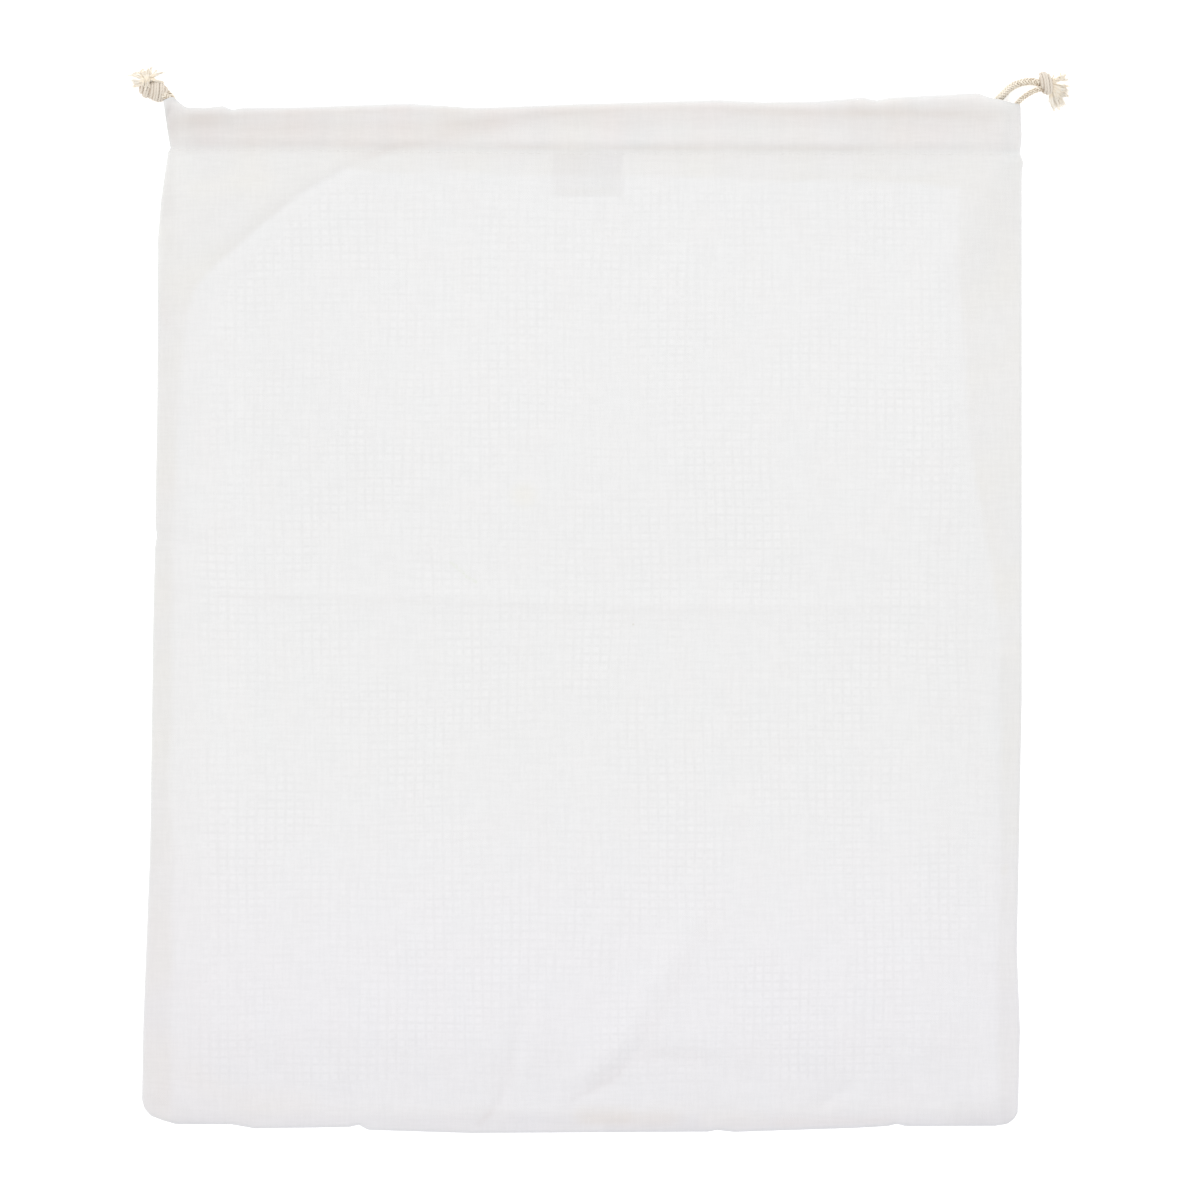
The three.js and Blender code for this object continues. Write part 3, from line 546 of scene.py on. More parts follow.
TUFTS_LEFT = [
    ((-152.0, 185.2, 5.0), (-158.1, 186.5, 0.9), 5, 0.2, 0.06, 0.9),
    ((-151.6, 184.6, 5.0), (-156.8, 184.9, 0.8), 7, 0.3, 0.08, -0.3),
    ((-151.6, 184.2, 4.8), (-156.5, 183.8, 0.7), 7, 0.3, 0.08, 0.2),
    ((-151.8, 183.8, 4.6), (-155.9, 182.5, 0.7), 7, 0.3, 0.08, 0.2),
    ((-151.4, 184.8, 5.6), (-155.2, 186.6, 2.2), 10, 0.4, 0.06, 0.2),
    ((-151.2, 184.8, 5.8), (-153.9, 187.6, 2.6), 11, 0.4, 0.06, 0.2),
    ((-151.0, 184.8, 6.2), (-152.4, 188.2, 3.2), 12, 0.4, 0.06, 0.1),
    ((-150.8, 184.8, 6.4), (-151.0, 188.2, 3.6), 12, 0.4, 0.06, 0.0),
    ((-150.4, 184.6, 6.4), (-149.6, 187.9, 3.6), 11, 0.4, 0.06, 0.0),
    ((-150.0, 184.8, 6.2), (-148.2, 187.2, 3.4), 10, 0.4, 0.06, 0.0),
    ((-149.6, 186.4, 5.0), (-149.3, 190.5, 1.4), 3, 0.15, 0.06, -0.5),
    ((-149.6, 186.2, 5.0), (-147.3, 188.7, 1.6), 4, 0.2, 0.06, 0.3),
    ((-149.6, 185.8, 6.0), (-144.9, 187.7, 1.8), 7, 0.2, 0.06, -0.4),
    ((-149.2, 185.4, 6.6), (-144.4, 184.3, 4.6), 5, 0.12, 0.05, 0.5),
    ((-151.0, 184.9, 7.2), (-151.3, 181.0, 7.4), 3, 0.1, 0.03, 0.2),
    ((-152.7, 184.8, 6.6), (-152.4, 182.2, 7.0), 3, 0.12, 0.03, -0.3),
    ((-150.5, 184.9, 6.4), (-149.9, 182.1, 7.4), 2, 0.08, 0.03, 0.3),
]
HAIRS_LEFT = [
    ((-151.6, 187.4, 4.4), (-150.5, 189.1, 2.0), 0.2, 0.5),
    ((-152.8, 187.4, 4.0), (-152.6, 188.9, 2.0), 0.2, -0.3),
]
print("tufts:", len(TUFTS_RIGHT), "and", len(TUFTS_LEFT))

# %% [markdown]
# ### One yarn
# Every yarn and hair is a path first and a tube afterwards. The path bows aside, rises a little off the
# table, keeps the crimp of the braid and curls more towards its tip.

# %% Yarns and hairs
YARN_RADIUS = 0.23
YARN_POINTS = 26
YARN_THINNING = 0.55
FIBRE_RADIUS = 0.05
FIBRES = 4
HAIR_RADIUS = 0.25
HAIR_TONE = 0.9
CRIMP_WAVE = 1.6
YARN_CURL = 0.3
YARN_CURL_WAVE = 4.5


def thread_path(root, tip, crimp, bend, rise, dice):
    """A line from root to tip that bows aside, rises a little, waves and curls towards its end."""
    t = np.linspace(0.0, 1.0, YARN_POINTS)[:, None]
    reach = np.linalg.norm(tip - root)
    way = (tip - root) / reach
    flat = np.cross(way, (0.0, 0.0, 1.0))
    flat /= np.linalg.norm(flat)
    path = root + (tip - root) * t + flat * bend * np.sin(np.pi * t)
    path[:, 2:] += rise * np.sin(np.pi * t) * (1 - t)
    crimps = crimp * np.sin(FULL_TURN * reach * t / CRIMP_WAVE + dice.uniform(0, 6))
    curl = YARN_CURL * np.sin(FULL_TURN * reach * t / YARN_CURL_WAVE + dice.uniform(0, 6)) * t**1.5
    return path + flat * (crimps + curl) * smooth(t * 4)


def yarn(root, tip, crimp, bend, dice):
    """A loose yarn with a thinning body and a few fibres that stand off it."""
    t = np.linspace(0.0, 1.0, YARN_POINTS)
    bend = bend + dice.normal(0, 0.25)
    rise = dice.uniform(0.03, 0.14) * np.linalg.norm(tip - root)
    path = thread_path(root, tip, crimp, bend, rise, dice)
    size = YARN_RADIUS * dice.uniform(0.8, 1.15) * (1 - YARN_THINNING * t**2.4)
    path[:, 2] = np.maximum(path[:, 2], size)
    # Painted shade, darker towards the root where the yarns crowd together, plus a random tone of its own;
    # the flanks get painted shade too
    shade_and_tone = 0.55 * smooth(1 - t * 2.2) + dice.uniform(-0.1, 0.25)
    parts = [tube(path, size, size, 6, shade_and_tone=shade_and_tone, flank_shading=0.25)]
    for _ in range(FIBRES):
        away = dice.normal(0, 1, 3) * (0.1 + 0.2 * t[:, None] ** 1.5)
        stop = int(YARN_POINTS * dice.uniform(0.7, 1.0))
        fibre = (path + away)[:stop]
        thin = FIBRE_RADIUS * (1.2 - 0.6 * t[:stop])
        fibre[:, 2] = np.maximum(fibre[:, 2], thin)
        parts.append(tube(fibre, thin, thin, 3, shade_and_tone=dice.uniform(0.0, 0.3)))
    return parts


def tuft(root, tip, yarns, spread, crimp, bend, dice):
    """Yarns that start close together and spread towards their tips."""
    parts = []
    for _ in range(yarns):
        start = np.array(root) + dice.normal(0, 0.22, 3)
        stop = np.array(root) + (np.array(tip) - root) * dice.uniform(0.78, 1.02)
        stop = stop + dice.normal(0, spread, 3) * (1, 1, 0.4)
        parts.extend(yarn(start, stop, crimp, bend, dice))
    return parts


def hair(root, tip, crimp, bend, dice):
    """One fine thread that stands off on its own."""
    path = thread_path(np.array(root), np.array(tip), crimp, bend, 0.2, dice)
    return tube(path, HAIR_RADIUS, HAIR_RADIUS, 6, shade_and_tone=HAIR_TONE)


print("a yarn is", 2 * YARN_RADIUS, "mm thick")

# %% [markdown]
# ### Putting a knot together
# Bands, tufts and hairs become one piece, because they are one object in the hand. A second value in
# its points says which of them are frayed, so that its material can make the open yarns paler.

# %% Knots
CORE_WORDS = ("centre", "axis_turn", "length", "wide", "high", "lean", "bow")


def knot(name, bands, tufts, hairs, node, seed):
    """One knot with its frayed ends. Its own dice keep it the same, whatever else changes."""
    dice = np.random.default_rng(seed)
    parts = []
    for row in bands:
        parts.append(band_core(**{word: row[word] for word in CORE_WORDS}))
        parts.extend(wound_band(**row, dice=dice))
    frays_from = sum(len(part[0]) for part in parts)
    for row in tufts:
        parts.extend(tuft(*row, dice))
    for row in hairs:
        parts.append(hair(*row, dice))
    points, faces, shade_and_tone = join(parts)
    frayed = (np.arange(len(points)) >= frays_from).astype(float)
    return new_piece(name, points, faces, node, {"shade_and_tone": shade_and_tone, "frayed": frayed})


knot_right = knot("knot_and_fray_right", KNOT_RIGHT, TUFTS_RIGHT, HAIRS_RIGHT, "knot_right", seed=3)
knot_left = knot("knot_and_fray_left", KNOT_LEFT, TUFTS_LEFT, HAIRS_LEFT, "knot_left", seed=8)
print("faces in the knots:", len(knot_right.data.polygons), len(knot_left.data.polygons))

# %% [markdown]
# ## What the cords are
# Each cord starts and ends in its own knot.

print("each cord starts and ends in its own knot")

# %% [markdown]
# ## The outline
# A sewn bag never has straight sides. The seams pull, the corners round off, and the cloth bulges
# between stitches. The tables below give each edge as a few points, read off the photograph, and
# everything else in the scene hangs on them.

# %% Edges
# The top and bottom edges give a height for each X, the left and right edges an X for each height
TOP_EDGE = [
    (-145.2, 177.7), (-142.1, 179.1), (-137.6, 175.3), (-131.0, 175.0), (-124.4, 175.8),
    (-121.6, 174.4), (-118.0, 175.1), (-95.3, 175.3), (-60.9, 176.5), (-37.0, 174.9), (-3.7, 176.2),
    (46.9, 177.7), (62.0, 176.9), (80.0, 177.1), (96.9, 178.7), (101.4, 177.6), (106.6, 178.7),
    (136.7, 180.2), (140.2, 178.9), (151.7, 176.3),
]
BOTTOM_EDGE = [
    (-152.9, -168.4), (-152.1, -171.5), (-149.9, -174.1), (-145.9, -175.7), (-141.0, -177.1),
    (-121.6, -177.2), (-113.6, -178.6), (-81.0, -178.1), (-77.6, -177.3), (-74.5, -179.1),
    (-38.4, -180.2), (-5.1, -180.0), (43.8, -179.7), (46.5, -179.1), (52.5, -179.8), (94.8, -178.4),
    (105.5, -177.8), (108.9, -177.0), (112.0, -177.8), (143.0, -177.7), (147.4, -177.0),
    (149.9, -175.0), (150.9, -172.9), (151.1, -169.1),
]
LEFT_EDGE = [
    (-168.4, -152.9), (-144.4, -152.5), (-82.0, -150.1), (-2.3, -149.0), (23.0, -148.4), (27.0, -147.7),
    (31.0, -148.3), (74.0, -147.6), (129.5, -147.4), (143.7, -146.2), (160.0, -143.8), (161.3, -143.0),
    (168.4, -144.2), (177.7, -145.2),
]
RIGHT_EDGE = [
    (-169.1, 151.1), (-144.4, 151.7), (-116.7, 150.6), (-82.0, 151.3), (-30.0, 152.3), (153.0, 152.3),
    (156.6, 152.9), (159.4, 151.7), (165.9, 152.3), (176.3, 151.7),
]
# The row of stitches below the casing
STITCH_LINE = [(-143, 161.4), (-98, 160.9), (-29, 160.0), (6, 159.7)]


def edge_at(table, at):
    """Where an edge lies at some place along it, on straight lines between its points."""
    places, edges = zip(*table)
    return np.interp(at, places, edges)


def top_edge(x):
    """How high the top edge lies above the middle."""
    return edge_at(TOP_EDGE, x)


def bottom_edge(x):
    """How high the bottom edge lies, which is below 0."""
    return edge_at(BOTTOM_EDGE, x)


def left_edge(y):
    """Where the left edge lies."""
    return edge_at(LEFT_EDGE, y)


def right_edge(y):
    """Where the right edge lies."""
    return edge_at(RIGHT_EDGE, y)


def stitches(x):
    """How high the row of stitches lies."""
    return edge_at(STITCH_LINE, x)


print("the bag is", left_edge(0.0), "to", right_edge(0.0), "mm wide at its middle")

# %% [markdown]
# ## Folds
# The bag was packed folded, so a crease runs across its middle, and the bottom has the soft folds of
# cloth that was pushed up a little. A fold is a path with a height and a width. Added to the height of
# the cloth, it catches the light on one side and loses it on the other, which is all that one sees of
# a fold in white cloth.

# %% Fold tables
# Each fold: its path, its height, which is under 0 in a valley, and its width
FOLDS = [
    ([(-121, 7.5), (-36, 5.4), (20, 2.6), (103, 1.9), (136, 0.5)], 0.35, 4),
    ([(-36.5, -176.8), (-31, -172.5), (-25, -161), (-21, -141), (-15, -119)], -0.65, 3),
    ([(-24, -170), (-16, -150), (-13, -117)], 0.7, 6),
    ([(-40, -172), (-34, -150), (-30, -130)], 0.4, 6),
    ([(-8, -172), (3, -158), (17, -141), (30, -122), (40, -107)], 1.1, 7),
    ([(-4, -169), (8, -162), (18.4, -152.4)], -0.9, 3),
    ([(17, -153), (26, -135), (36, -118)], -0.5, 4.5),
    ([(16, -153), (34, -153.7), (44, -155)], -0.5, 3),
    ([(18, -148), (30, -144), (44, -150), (62, -152)], 0.3, 6),
    ([(20, -160), (41, -165), (62, -167), (80, -163)], 0.5, 5),
    ([(79, -174), (85, -168), (95, -162)], -0.6, 3),
    ([(43, -178), (44, -171), (42, -166)], -0.4, 2.5),
    ([(90, -172), (100, -164), (108, -154)], 0.4, 6),
    ([(-84, -158), (-81, -164), (-78, -176)], -0.45, 2.5),
    ([(-112, -162), (-96, -164), (-80, -160)], 0.35, 6),
    ([(-115, -142), (-67, -141)], 0.25, 6),
    ([(-11, 143), (-2, 112), (6, 81)], 0.3, 9),
    ([(48, 140), (34, 109), (55, 95)], 0.3, 8),
    ([(-148, 27), (-140, 24), (-122, 19)], -0.3, 3),
    ([(-127, 121), (-112, 135), (-98, 145), (-77, 157)], -0.45, 2.2),
    ([(-131, 124), (-114, 140), (-96, 151)], 0.35, 5),
]
# A fold's height follows half a wave along its path. It starts this share into the half wave, so the
# ends keep about a third of the height and don't fade to nothing
FOLD_END = 0.12


def near_path(path, x, y):
    """How far points lie from a path, and how far along it, from 0 to 1."""
    away = np.full(np.shape(x), np.inf)
    along = np.zeros(np.shape(x))
    for i, ((ax, ay), (bx, by)) in enumerate(zip(path, path[1:])):
        dx, dy = bx - ax, by - ay
        t = np.clip(((x - ax) * dx + (y - ay) * dy) / (dx * dx + dy * dy), 0.0, 1.0)
        gap = np.hypot(x - ax - t * dx, y - ay - t * dy)
        nearer = gap < away
        away = np.where(nearer, gap, away)
        along = np.where(nearer, (i + t) / (len(path) - 1), along)
    return away, along


def fold_relief(x, y):
    """The folds' heights added up."""
    total = np.zeros(np.shape(x))
    for path, height, width in FOLDS:
        away, along = near_path(path, x, y)
        fade = np.sin(np.pi * (FOLD_END + (1 - 2 * FOLD_END) * along))
        total += height * fade * np.exp(-((away / width) ** 2))
    return total


print(len(FOLDS), "folds")

# %% [markdown]
# ## The height of the front
# Lying empty, the bag is a thin pillow. The front rises gently from its seams, and at the mouth it
# climbs over the two casings, one on the other with the cords in them. One function gives the height
# at any place, so that every later piece, such as a stitch, can ask for it.

# %% Height of the front
# How thick a casing with a cord in it is, and the gap between the two
CASING = 5.7
GAP = 0.3
# The height of the rim, and the radius that rounds it off
RIM = 2.4
RIM_ROUND = 1.2
# The height of the panel, and how far in from the rim it reaches that, on the panel and at the casing
LOFT = 7.7
LOFT_RAMP = 36
CASING_RAMP = 11
# How much further the mouth stands open in the middle, and where
MOUTH_LIFT = 4.3
MOUTH_HALF = 130
MOUTH_RAMP = 65
# The climb to the stitches, which starts at a height on the panel, and the swelling past them
SEAM_RISE = 4.3
SEAM_SWELL = 5.0
SEAM_SLOPE_START = 40
# From here up, the ramp at the sides gets shorter
CORNER_START = 100
# Folds fade out this near the rim
FOLD_INSET = 8
# Where a cord leaves the casing it holds the corner up: the place, the top's height and its fall
HOODS = [(-143.6, 178.2, 9.2, 0.1), (149.6, 175.6, 6.4, 0.16)]


def round_over(t):
    """The height of a quarter of an ellipse that is 1 high and 1 wide."""
    short = 1 - np.clip(t, 0.0, 1.0)
    return np.sqrt(1 - short * short)


def casing_under(x):
    """The underside of the front casing, which stands off the back one in the middle."""
    return CASING + GAP + MOUTH_LIFT * smooth((MOUTH_HALF - np.abs(x)) / MOUTH_RAMP)


def crown_height(x, y):
    """The height away from the sides: the panel, its climb to the stitches, the casing and its fold."""
    half = CASING / 2
    under = casing_under(x)
    seam = stitches(x)
    slope = smooth((y - SEAM_SLOPE_START) / (seam - SEAM_SLOPE_START))
    panel = LOFT + (under + SEAM_RISE - LOFT) * slope
    swelling = (CASING - SEAM_RISE) * smooth((y - seam + 1) / SEAM_SWELL)
    from_top = top_edge(x) - y
    fold = half * round_over(from_top / half) - half
    return panel + swelling + np.where(from_top < half, fold, 0.0)


def cloth_top(x, y):
    """The upper face of the front cloth."""
    from_side = np.minimum(x - left_edge(y), right_edge(y) - x)
    from_bottom = y - bottom_edge(x)
    casing_share = smooth((y - CORNER_START) / (stitches(x) - CORNER_START))
    ramp = LOFT_RAMP + (CASING_RAMP - LOFT_RAMP) * casing_share
    side = smooth(from_side / ramp) * (1 - casing_share) + round_over(from_side / ramp) * casing_share
    share = side * smooth(from_bottom / LOFT_RAMP)
    inset = smooth(np.minimum(from_side, from_bottom) / FOLD_INSET)
    height = RIM + (crown_height(x, y) - RIM) * share + fold_relief(x, y) * inset
    for hx, hy, top, fall in HOODS:
        height = np.maximum(height, top - fall * ((x - hx) ** 2 + (y - hy) ** 2))
    rim = round_over(np.minimum(from_side, from_bottom) / RIM_ROUND)
    return height - RIM_ROUND * (1 - rim)


# How high the small crumples are, and how far in from the rim they reach that
CRUMPLE = 0.07
CRUMPLE_RAMP = 12


def front_height(x, y):
    """The upper face with its small crumples, which fade towards the rim."""
    waves = CRUMPLE * (0.6 * ripple(x, y, 34, 5) + 0.6 * ripple(x, y, 11, 6))
    inset = np.minimum(x - left_edge(y), right_edge(y) - x)
    inset = np.minimum(inset, y - bottom_edge(x))
    return cloth_top(x, y) + waves * smooth(inset / CRUMPLE_RAMP)


middle_x, middle_y = np.array([0.0, 0.0]), np.array([0.0, 168.0])
print("height at the middle and on the casing:", front_height(middle_x, middle_y).round(1), "mm")

# %% [markdown]
# ## The front cloth
# The front is one sheet: up the panel, over the casing's fold and back down inside it to the hem. At
# the sides and the bottom it turns under and ends in a narrow hem round the net. A grid whose lines
# follow the outline makes all of that one surface. Small random waves keep it from looking ironed.

# %% Front cloth
COLUMN_STEP = 1.15
ROW_STEP = 1.55
CASING_ROW_STEP = 0.62
# Rough sizes of the front, which say how many lines its grid needs
BAG_WIDTH = 303.0
PANEL_HEIGHT = 338.0
CASING_HEIGHT = 16.5
# How far the first lines lie from an edge
EDGE_STEPS = [0.0, 0.25, 0.7, 1.4, 2.3]
# The rows over the label lie closer, because its edges show sharply: first, last and how many
LABEL_ROWS = (0.953, 0.990, 19)
ROW_MARGIN = 0.002
# The first guess of where the grid lies, and how often it is mended
FIRST_LEFT = -150.0
FIRST_WIDTH = 302.0
PLACE_ROUNDS = 5


def shares(length, step):
    """Shares of a length, a step apart, and closer together at both ends."""
    ends = np.array(EDGE_STEPS) / length
    inner = np.linspace(ends[-1], 1 - ends[-1], int((length - 2 * EDGE_STEPS[-1]) / step))
    return np.concatenate([ends[:-1], inner, (1 - ends[:-1])[::-1]])


column_shares = shares(BAG_WIDTH, COLUMN_STEP)
panel_shares = shares(PANEL_HEIGHT, ROW_STEP)
label_rows = np.linspace(*LABEL_ROWS)
below_label = panel_shares < label_rows[0] - ROW_MARGIN
above_label = (panel_shares > label_rows[-1] + ROW_MARGIN) & (panel_shares < 1.0)
panel_rows = np.sort(np.concatenate([panel_shares[below_label | above_label], label_rows]))
casing_rows = np.linspace(0.0, 1.0, int(CASING_HEIGHT / CASING_ROW_STEP) + 1)


def grid_place(column, rows, low, high):
    """Where the lines of a grid cross. The edges depend on each other, so a first guess is mended."""
    u, v = np.meshgrid(column, rows)
    x = FIRST_LEFT + FIRST_WIDTH * u
    y = low(x) + (high(x) - low(x)) * v
    for _ in range(PLACE_ROUNDS):
        x = left_edge(y) + (right_edge(y) - left_edge(y)) * u
        y = low(x) + (high(x) - low(x)) * v
    return x, y


panel_x, panel_y = grid_place(column_shares, panel_rows, bottom_edge, stitches)
fold_x, fold_y = grid_place(column_shares, casing_rows, stitches, top_edge)
cloth_x = np.vstack([panel_x, fold_x])
cloth_y = np.vstack([panel_y, fold_y])
cloth_z = front_height(cloth_x, cloth_y)
print("front grid", cloth_x.shape)

# %% [markdown]
# ## What lies behind each point
# Muslin this thin shows what it lies on. One more layer of cotton makes it a little darker, a tan cord
# makes it darker and warmer, and the net shows as fine darker lines with lighter holes between them.
# Light that goes through cloth twice is slow to render and noisy, and it would be lost in other programs. So
# that light is painted in instead, and two things are stored at each point of the front: its colour with the
# show-through painted into it, and how clearly the net shows. The tables here say where the net and the
# plain borders of the back lie.

# %% Where the layers lie
NET_TOP = [
    (-137.0, 119.0), (-127.5, 120.9), (-111.9, 134.7), (-98.0, 145.1), (-77.2, 153.5), (-11.3, 151.6),
    (96.2, 150.0), (131.0, 148.6),
]
WINDOW_LEFT = [(-171, -142.4), (4.7, -142.4), (74, -139.7), (119, -136.2), (157, -126.3)]
WINDOW_RIGHT = [(-171, 144.0), (-9.2, 144.7), (39.4, 137.8), (74, 133.6), (108.7, 130.8)]
WINDOW_BOTTOM = -170.5
# The left side of the net as it shows from the front, with the crease across the corner
SHOWN_LEFT = [
    (-171, -143.0), (4.7, -142.4), (74, -140.0), (100, -137.2), (113, -134.6), (121.3, -127.0),
    (134.7, -111.9), (145.1, -98.0), (156.6, -77.2), (166, -55.0),
]
SHOWN_TOP = [(-140, 151), (-77, 153.2), (-11.3, 151.6), (52, 151.2), (58, 149.8), (96, 149.4), (131, 147.5)]
print("the net's window is", WINDOW_RIGHT[0][1] - WINDOW_LEFT[0][1], "mm wide at the bottom")

# %% [markdown]
# ## Tints
# White cotton is never one white. Where it lies double it is a little darker, the casing takes a trace of
# pink from the cords, unbleached hems are straw, and the lower half is a cool lilac. Each tint is a colour
# to multiply by. Each mark is a path on the cloth with a width, a softness and how much darker, pinker and
# more like straw it makes the cloth. Many marks are painted shade and painted light: the shaded and lit
# sides of folds and creases, and shade along the top fold, the sides, the bottom edge and the corners.
# Others are the cords and the tab showing through, and a few stains. They are painted as a model maker would
# do it with a dry brush: long and soft, never hard.

# %% Shade tables
PLAIN = np.array([0.742, 0.7405, 0.7405])
PINK = np.array([1.045, 0.985, 0.968])
STRAW = np.array([1.012, 1.0, 0.955])
LILAC = np.array([1.001, 0.992, 1.016])
# The grey of the painted shade along the rounded rim
RIM_SHADE_GREY = np.array([0.99, 1.0, 1.004])
TOP_FOLD = [(-141, 171), (-100, 173.2), (-60, 174), (-14, 174.4), (45, 174.9), (75, 173.6), (138, 172.8)]
# Marks of painted shade and painted light on folds, creases, edges and corners, of cords and the tab that
# show through, and a few stains: path, half width, softness, how much darker as painted shade (below 0,
# painted light), how much pinker, how much more like straw
CASING_SHADE_AND_TINT_MARKS = [
    (TOP_FOLD, 1.0, 3.6, 0.030, 0.2, 0.15),
    ([(-146, 170.4), (-118, 170.8)], 2.2, 4.4, 0.034, 0.1, 0.15),
    ([(-50, 168.4), (-30, 170.6), (-12, 172.8), (16, 173.4)], 1.0, 3.4, 0.036, 0.1, 0.1),
    ([(46, 173.4), (104, 172.6)], 0.9, 3.4, 0.026, 0.1, 0.1),
    ([(88, 173.6), (152, 172.4)], 1.9, 4.4, 0.040, 0.1, 0.15),
    ([(-146, 167.2), (-100, 166.6), (-60, 166.8), (-32, 168.8)], 3.4, 6.0, 0.032, 0.17, 0.12),
    ([(-84, 157), (-62, 161.6), (-44, 165.6), (-24, 170), (0, 174)], 1.6, 4.0, 0.022, 0.12, 0.0),
    ([(-90, 169.4), (-72, 168.8)], 0.8, 3.6, -0.016, -0.08, 0.0),
    ([(20, 167.6), (50, 168), (96, 167.4)], 2.2, 4.6, -0.012, -0.12, 0.0),
    ([(-12, 166.4), (8, 166)], 2.0, 4.0, -0.012, -0.1, 0.0),
    ([(98, 166.4), (142, 166.4)], 3.0, 5.0, 0.018, 0.08, 0.0),
    ([(-30, 161), (102, 160.8)], 0.5, 2.6, 0.018, 0.08, 0.15),
    ([(-34, 161.2), (-6, 161)], 0.7, 2.4, 0.022, 0.05, 0.1),
    ([(6, 160.8), (50, 160.8)], 0.8, 2.4, 0.026, 0.05, 0.15),
    ([(50, 160.6), (106, 160.5)], 0.9, 2.6, 0.034, 0.05, 0.15),
    ([(-146, 161.2), (-46, 161.2)], 1.8, 4.0, 0.022, 0.16, 0.0),
    ([(-58, 158.2), (132, 158.0)], 1.4, 3.4, 0.014, 0.1, 0.0),
    ([(-142, 171.5), (138, 172)], 4.2, 5.0, 0.034, 0.1, 0.0),
    ([(-148, 170), (-92, 170)], 6.0, 8.0, 0.022, 0.05, 0.0),
    ([(147.4, 174), (147.0, 168), (145.6, 161)], 0.8, 3.2, 0.022, 0.0, 0.0),
    ([(149.0, 179), (149.0, 160)], 3.2, 4.0, 0.008, -0.22, 0.0),
    ([(-143.6, 171), (-145.2, 139)], 3.0, 6.0, 0.060, 0.0, 0.0),
]
PANEL_SHADE_AND_TINT_MARKS = [
    ([(-127.5, 120.9), (-111.9, 134.7), (-98, 145.1), (-77.2, 157.0)], 0.8, 2.4, 0.030, 0.05, 0.0),
    ([(-77.2, 157), (-62, 162.0)], 1.2, 2.4, 0.026, 0.2, 0.0),
    ([(-146, 132), (-141, 126)], 2.4, 5.0, 0.018, 0.0, 0.1),
    ([(-146, 107), (-144, 100)], 1.4, 4.0, 0.014, 0.2, 0.0),
    ([(-134, 147), (-110, 150)], 3.0, 6.0, -0.012, 0.0, 0.2),
    ([(-10.6, 146), (14, 146.4)], 0.8, 2.4, 0.012, 0.0, 0.2),
    ([(70, 151.0), (128, 150.2)], 1.2, 2.4, 0.008, 0.0, 0.1),
    ([(128, 3.0), (60, 1.4), (0, 1.4), (-50, 4.0), (-134, 6.2)], 0.5, 2.4, 0.026, 0.05, 0.0),
    ([(-120, 9.5), (-36, 7.6), (20, 5.4), (103, 4.6)], 1.6, 4.0, -0.006, 0.0, 0.0),
    ([(-38, -178), (-31, -172), (-25.6, -161.8), (-24, -152), (-22, -136)], 0.8, 4.0, 0.022, 0.08, 0.0),
    ([(-36, -176.8), (-31.5, -172.6)], 0.7, 2.2, 0.034, 0.2, 0.0),
    ([(-8, -172), (-2, -167.6), (11, -161), (18, -152)], 0.7, 2.8, 0.034, 0.12, 0.0),
    ([(0, -166), (12, -159), (22, -152), (50, -154)], 2.2, 5.0, 0.014, 0.08, 0.0),
    ([(20, -150), (30, -134), (40, -112), (46, -96)], 1.6, 6.0, 0.012, 0.08, 0.0),
    ([(-8, -162), (14, -146), (24, -130), (34, -106)], 2.2, 8.0, -0.012, 0.0, 0.0),
    ([(79, -174), (85, -168), (95, -162.4)], 0.4, 2.2, 0.020, 0.0, 0.0),
    ([(-81, -164), (-79, -172)], 0.3, 1.4, 0.012, 0.0, 0.0),
    ([(-136, -160), (-120, -168), (-96, -170)], 4.0, 9.0, 0.006, 0.1, 0.2),
    ([(-146, -168), (-142, -150)], 3.0, 8.0, 0.006, 0.1, 0.1),
    ([(-5, -175.4), (38, -175.2)], 2.2, 3.8, 0.014, 0.22, 0.4),
    ([(60, -176.5), (110, -175.5)], 1.2, 2.6, 0.004, 0.2, 0.2),
    ([(146, -90), (146.5, -88)], 0.8, 3.0, 0.014, 0.0, 0.6),
    ([(147, 62), (149, 61)], 0.4, 2.0, 0.02, 0.0, 0.0),
    ([(-19.9, 41.1), (-20.9, 41.2)], 3.4, 6.0, 0.008, 0.02, 0.8),
]
# Broad soft shades, mostly painted shade and painted light: darker towards the sides and the bottom edge and
# lighter in the upper middle, with a stain near the bottom, in the same order of values
SHADES = [
    ([(-147.5, 150), (-148.5, -178)], 6.0, 4.0, 0.008, 0.02, 0.05),
    ([(-148, 100), (-148, -178)], 20.0, 24.0, 0.016, 0.05, 0.0),
    ([(-150, -178), (-150, -120)], 45.0, 60.0, 0.010, 0.05, 0.0),
    ([(-140, -178.5), (145, -177.5)], 4.5, 5.0, 0.052, 0.08, -0.25),
    ([(10, -178.5), (140, -177.5)], 2.4, 3.4, 0.026, 0.05, -0.1),
    ([(-146, -172), (-118, -172)], 6.0, 6.0, 0.012, 0.0, 0.0),
    ([(0, -173.6), (14, -173.6)], 3.2, 2.6, 0.018, 0.1, 0.3),
    ([(43, -175.6), (62, -175.6)], 2.6, 3.0, -0.014, 0.05, 0.3),
    ([(132, -172), (146, -172)], 5.0, 6.0, 0.032, 0.0, 0.0),
    ([(147.5, -20), (148.5, -178)], 5.0, 6.0, 0.020, 0.0, -0.1),
    ([(-140, -160), (140, -160)], 30.0, 50.0, 0.012, 0.0, 0.0),
    ([(-40, 100), (110, 100)], 45.0, 70.0, -0.020, 0.0, 0.0),
]
print("marks:", len(CASING_SHADE_AND_TINT_MARKS), "on the casing,", len(PANEL_SHADE_AND_TINT_MARKS), "on the panel,", len(SHADES), "broad")

# %% [markdown]
# ### From marks to masks
# A mask is 1 where something is painted and 0 where it isn't, with a soft step between. The ends of a
# thin mark fade out along its path, because a shadow in cloth never just stops. The label's tab has
# straight woven edges, so its mask is a plain rectangle that fades only at the top.

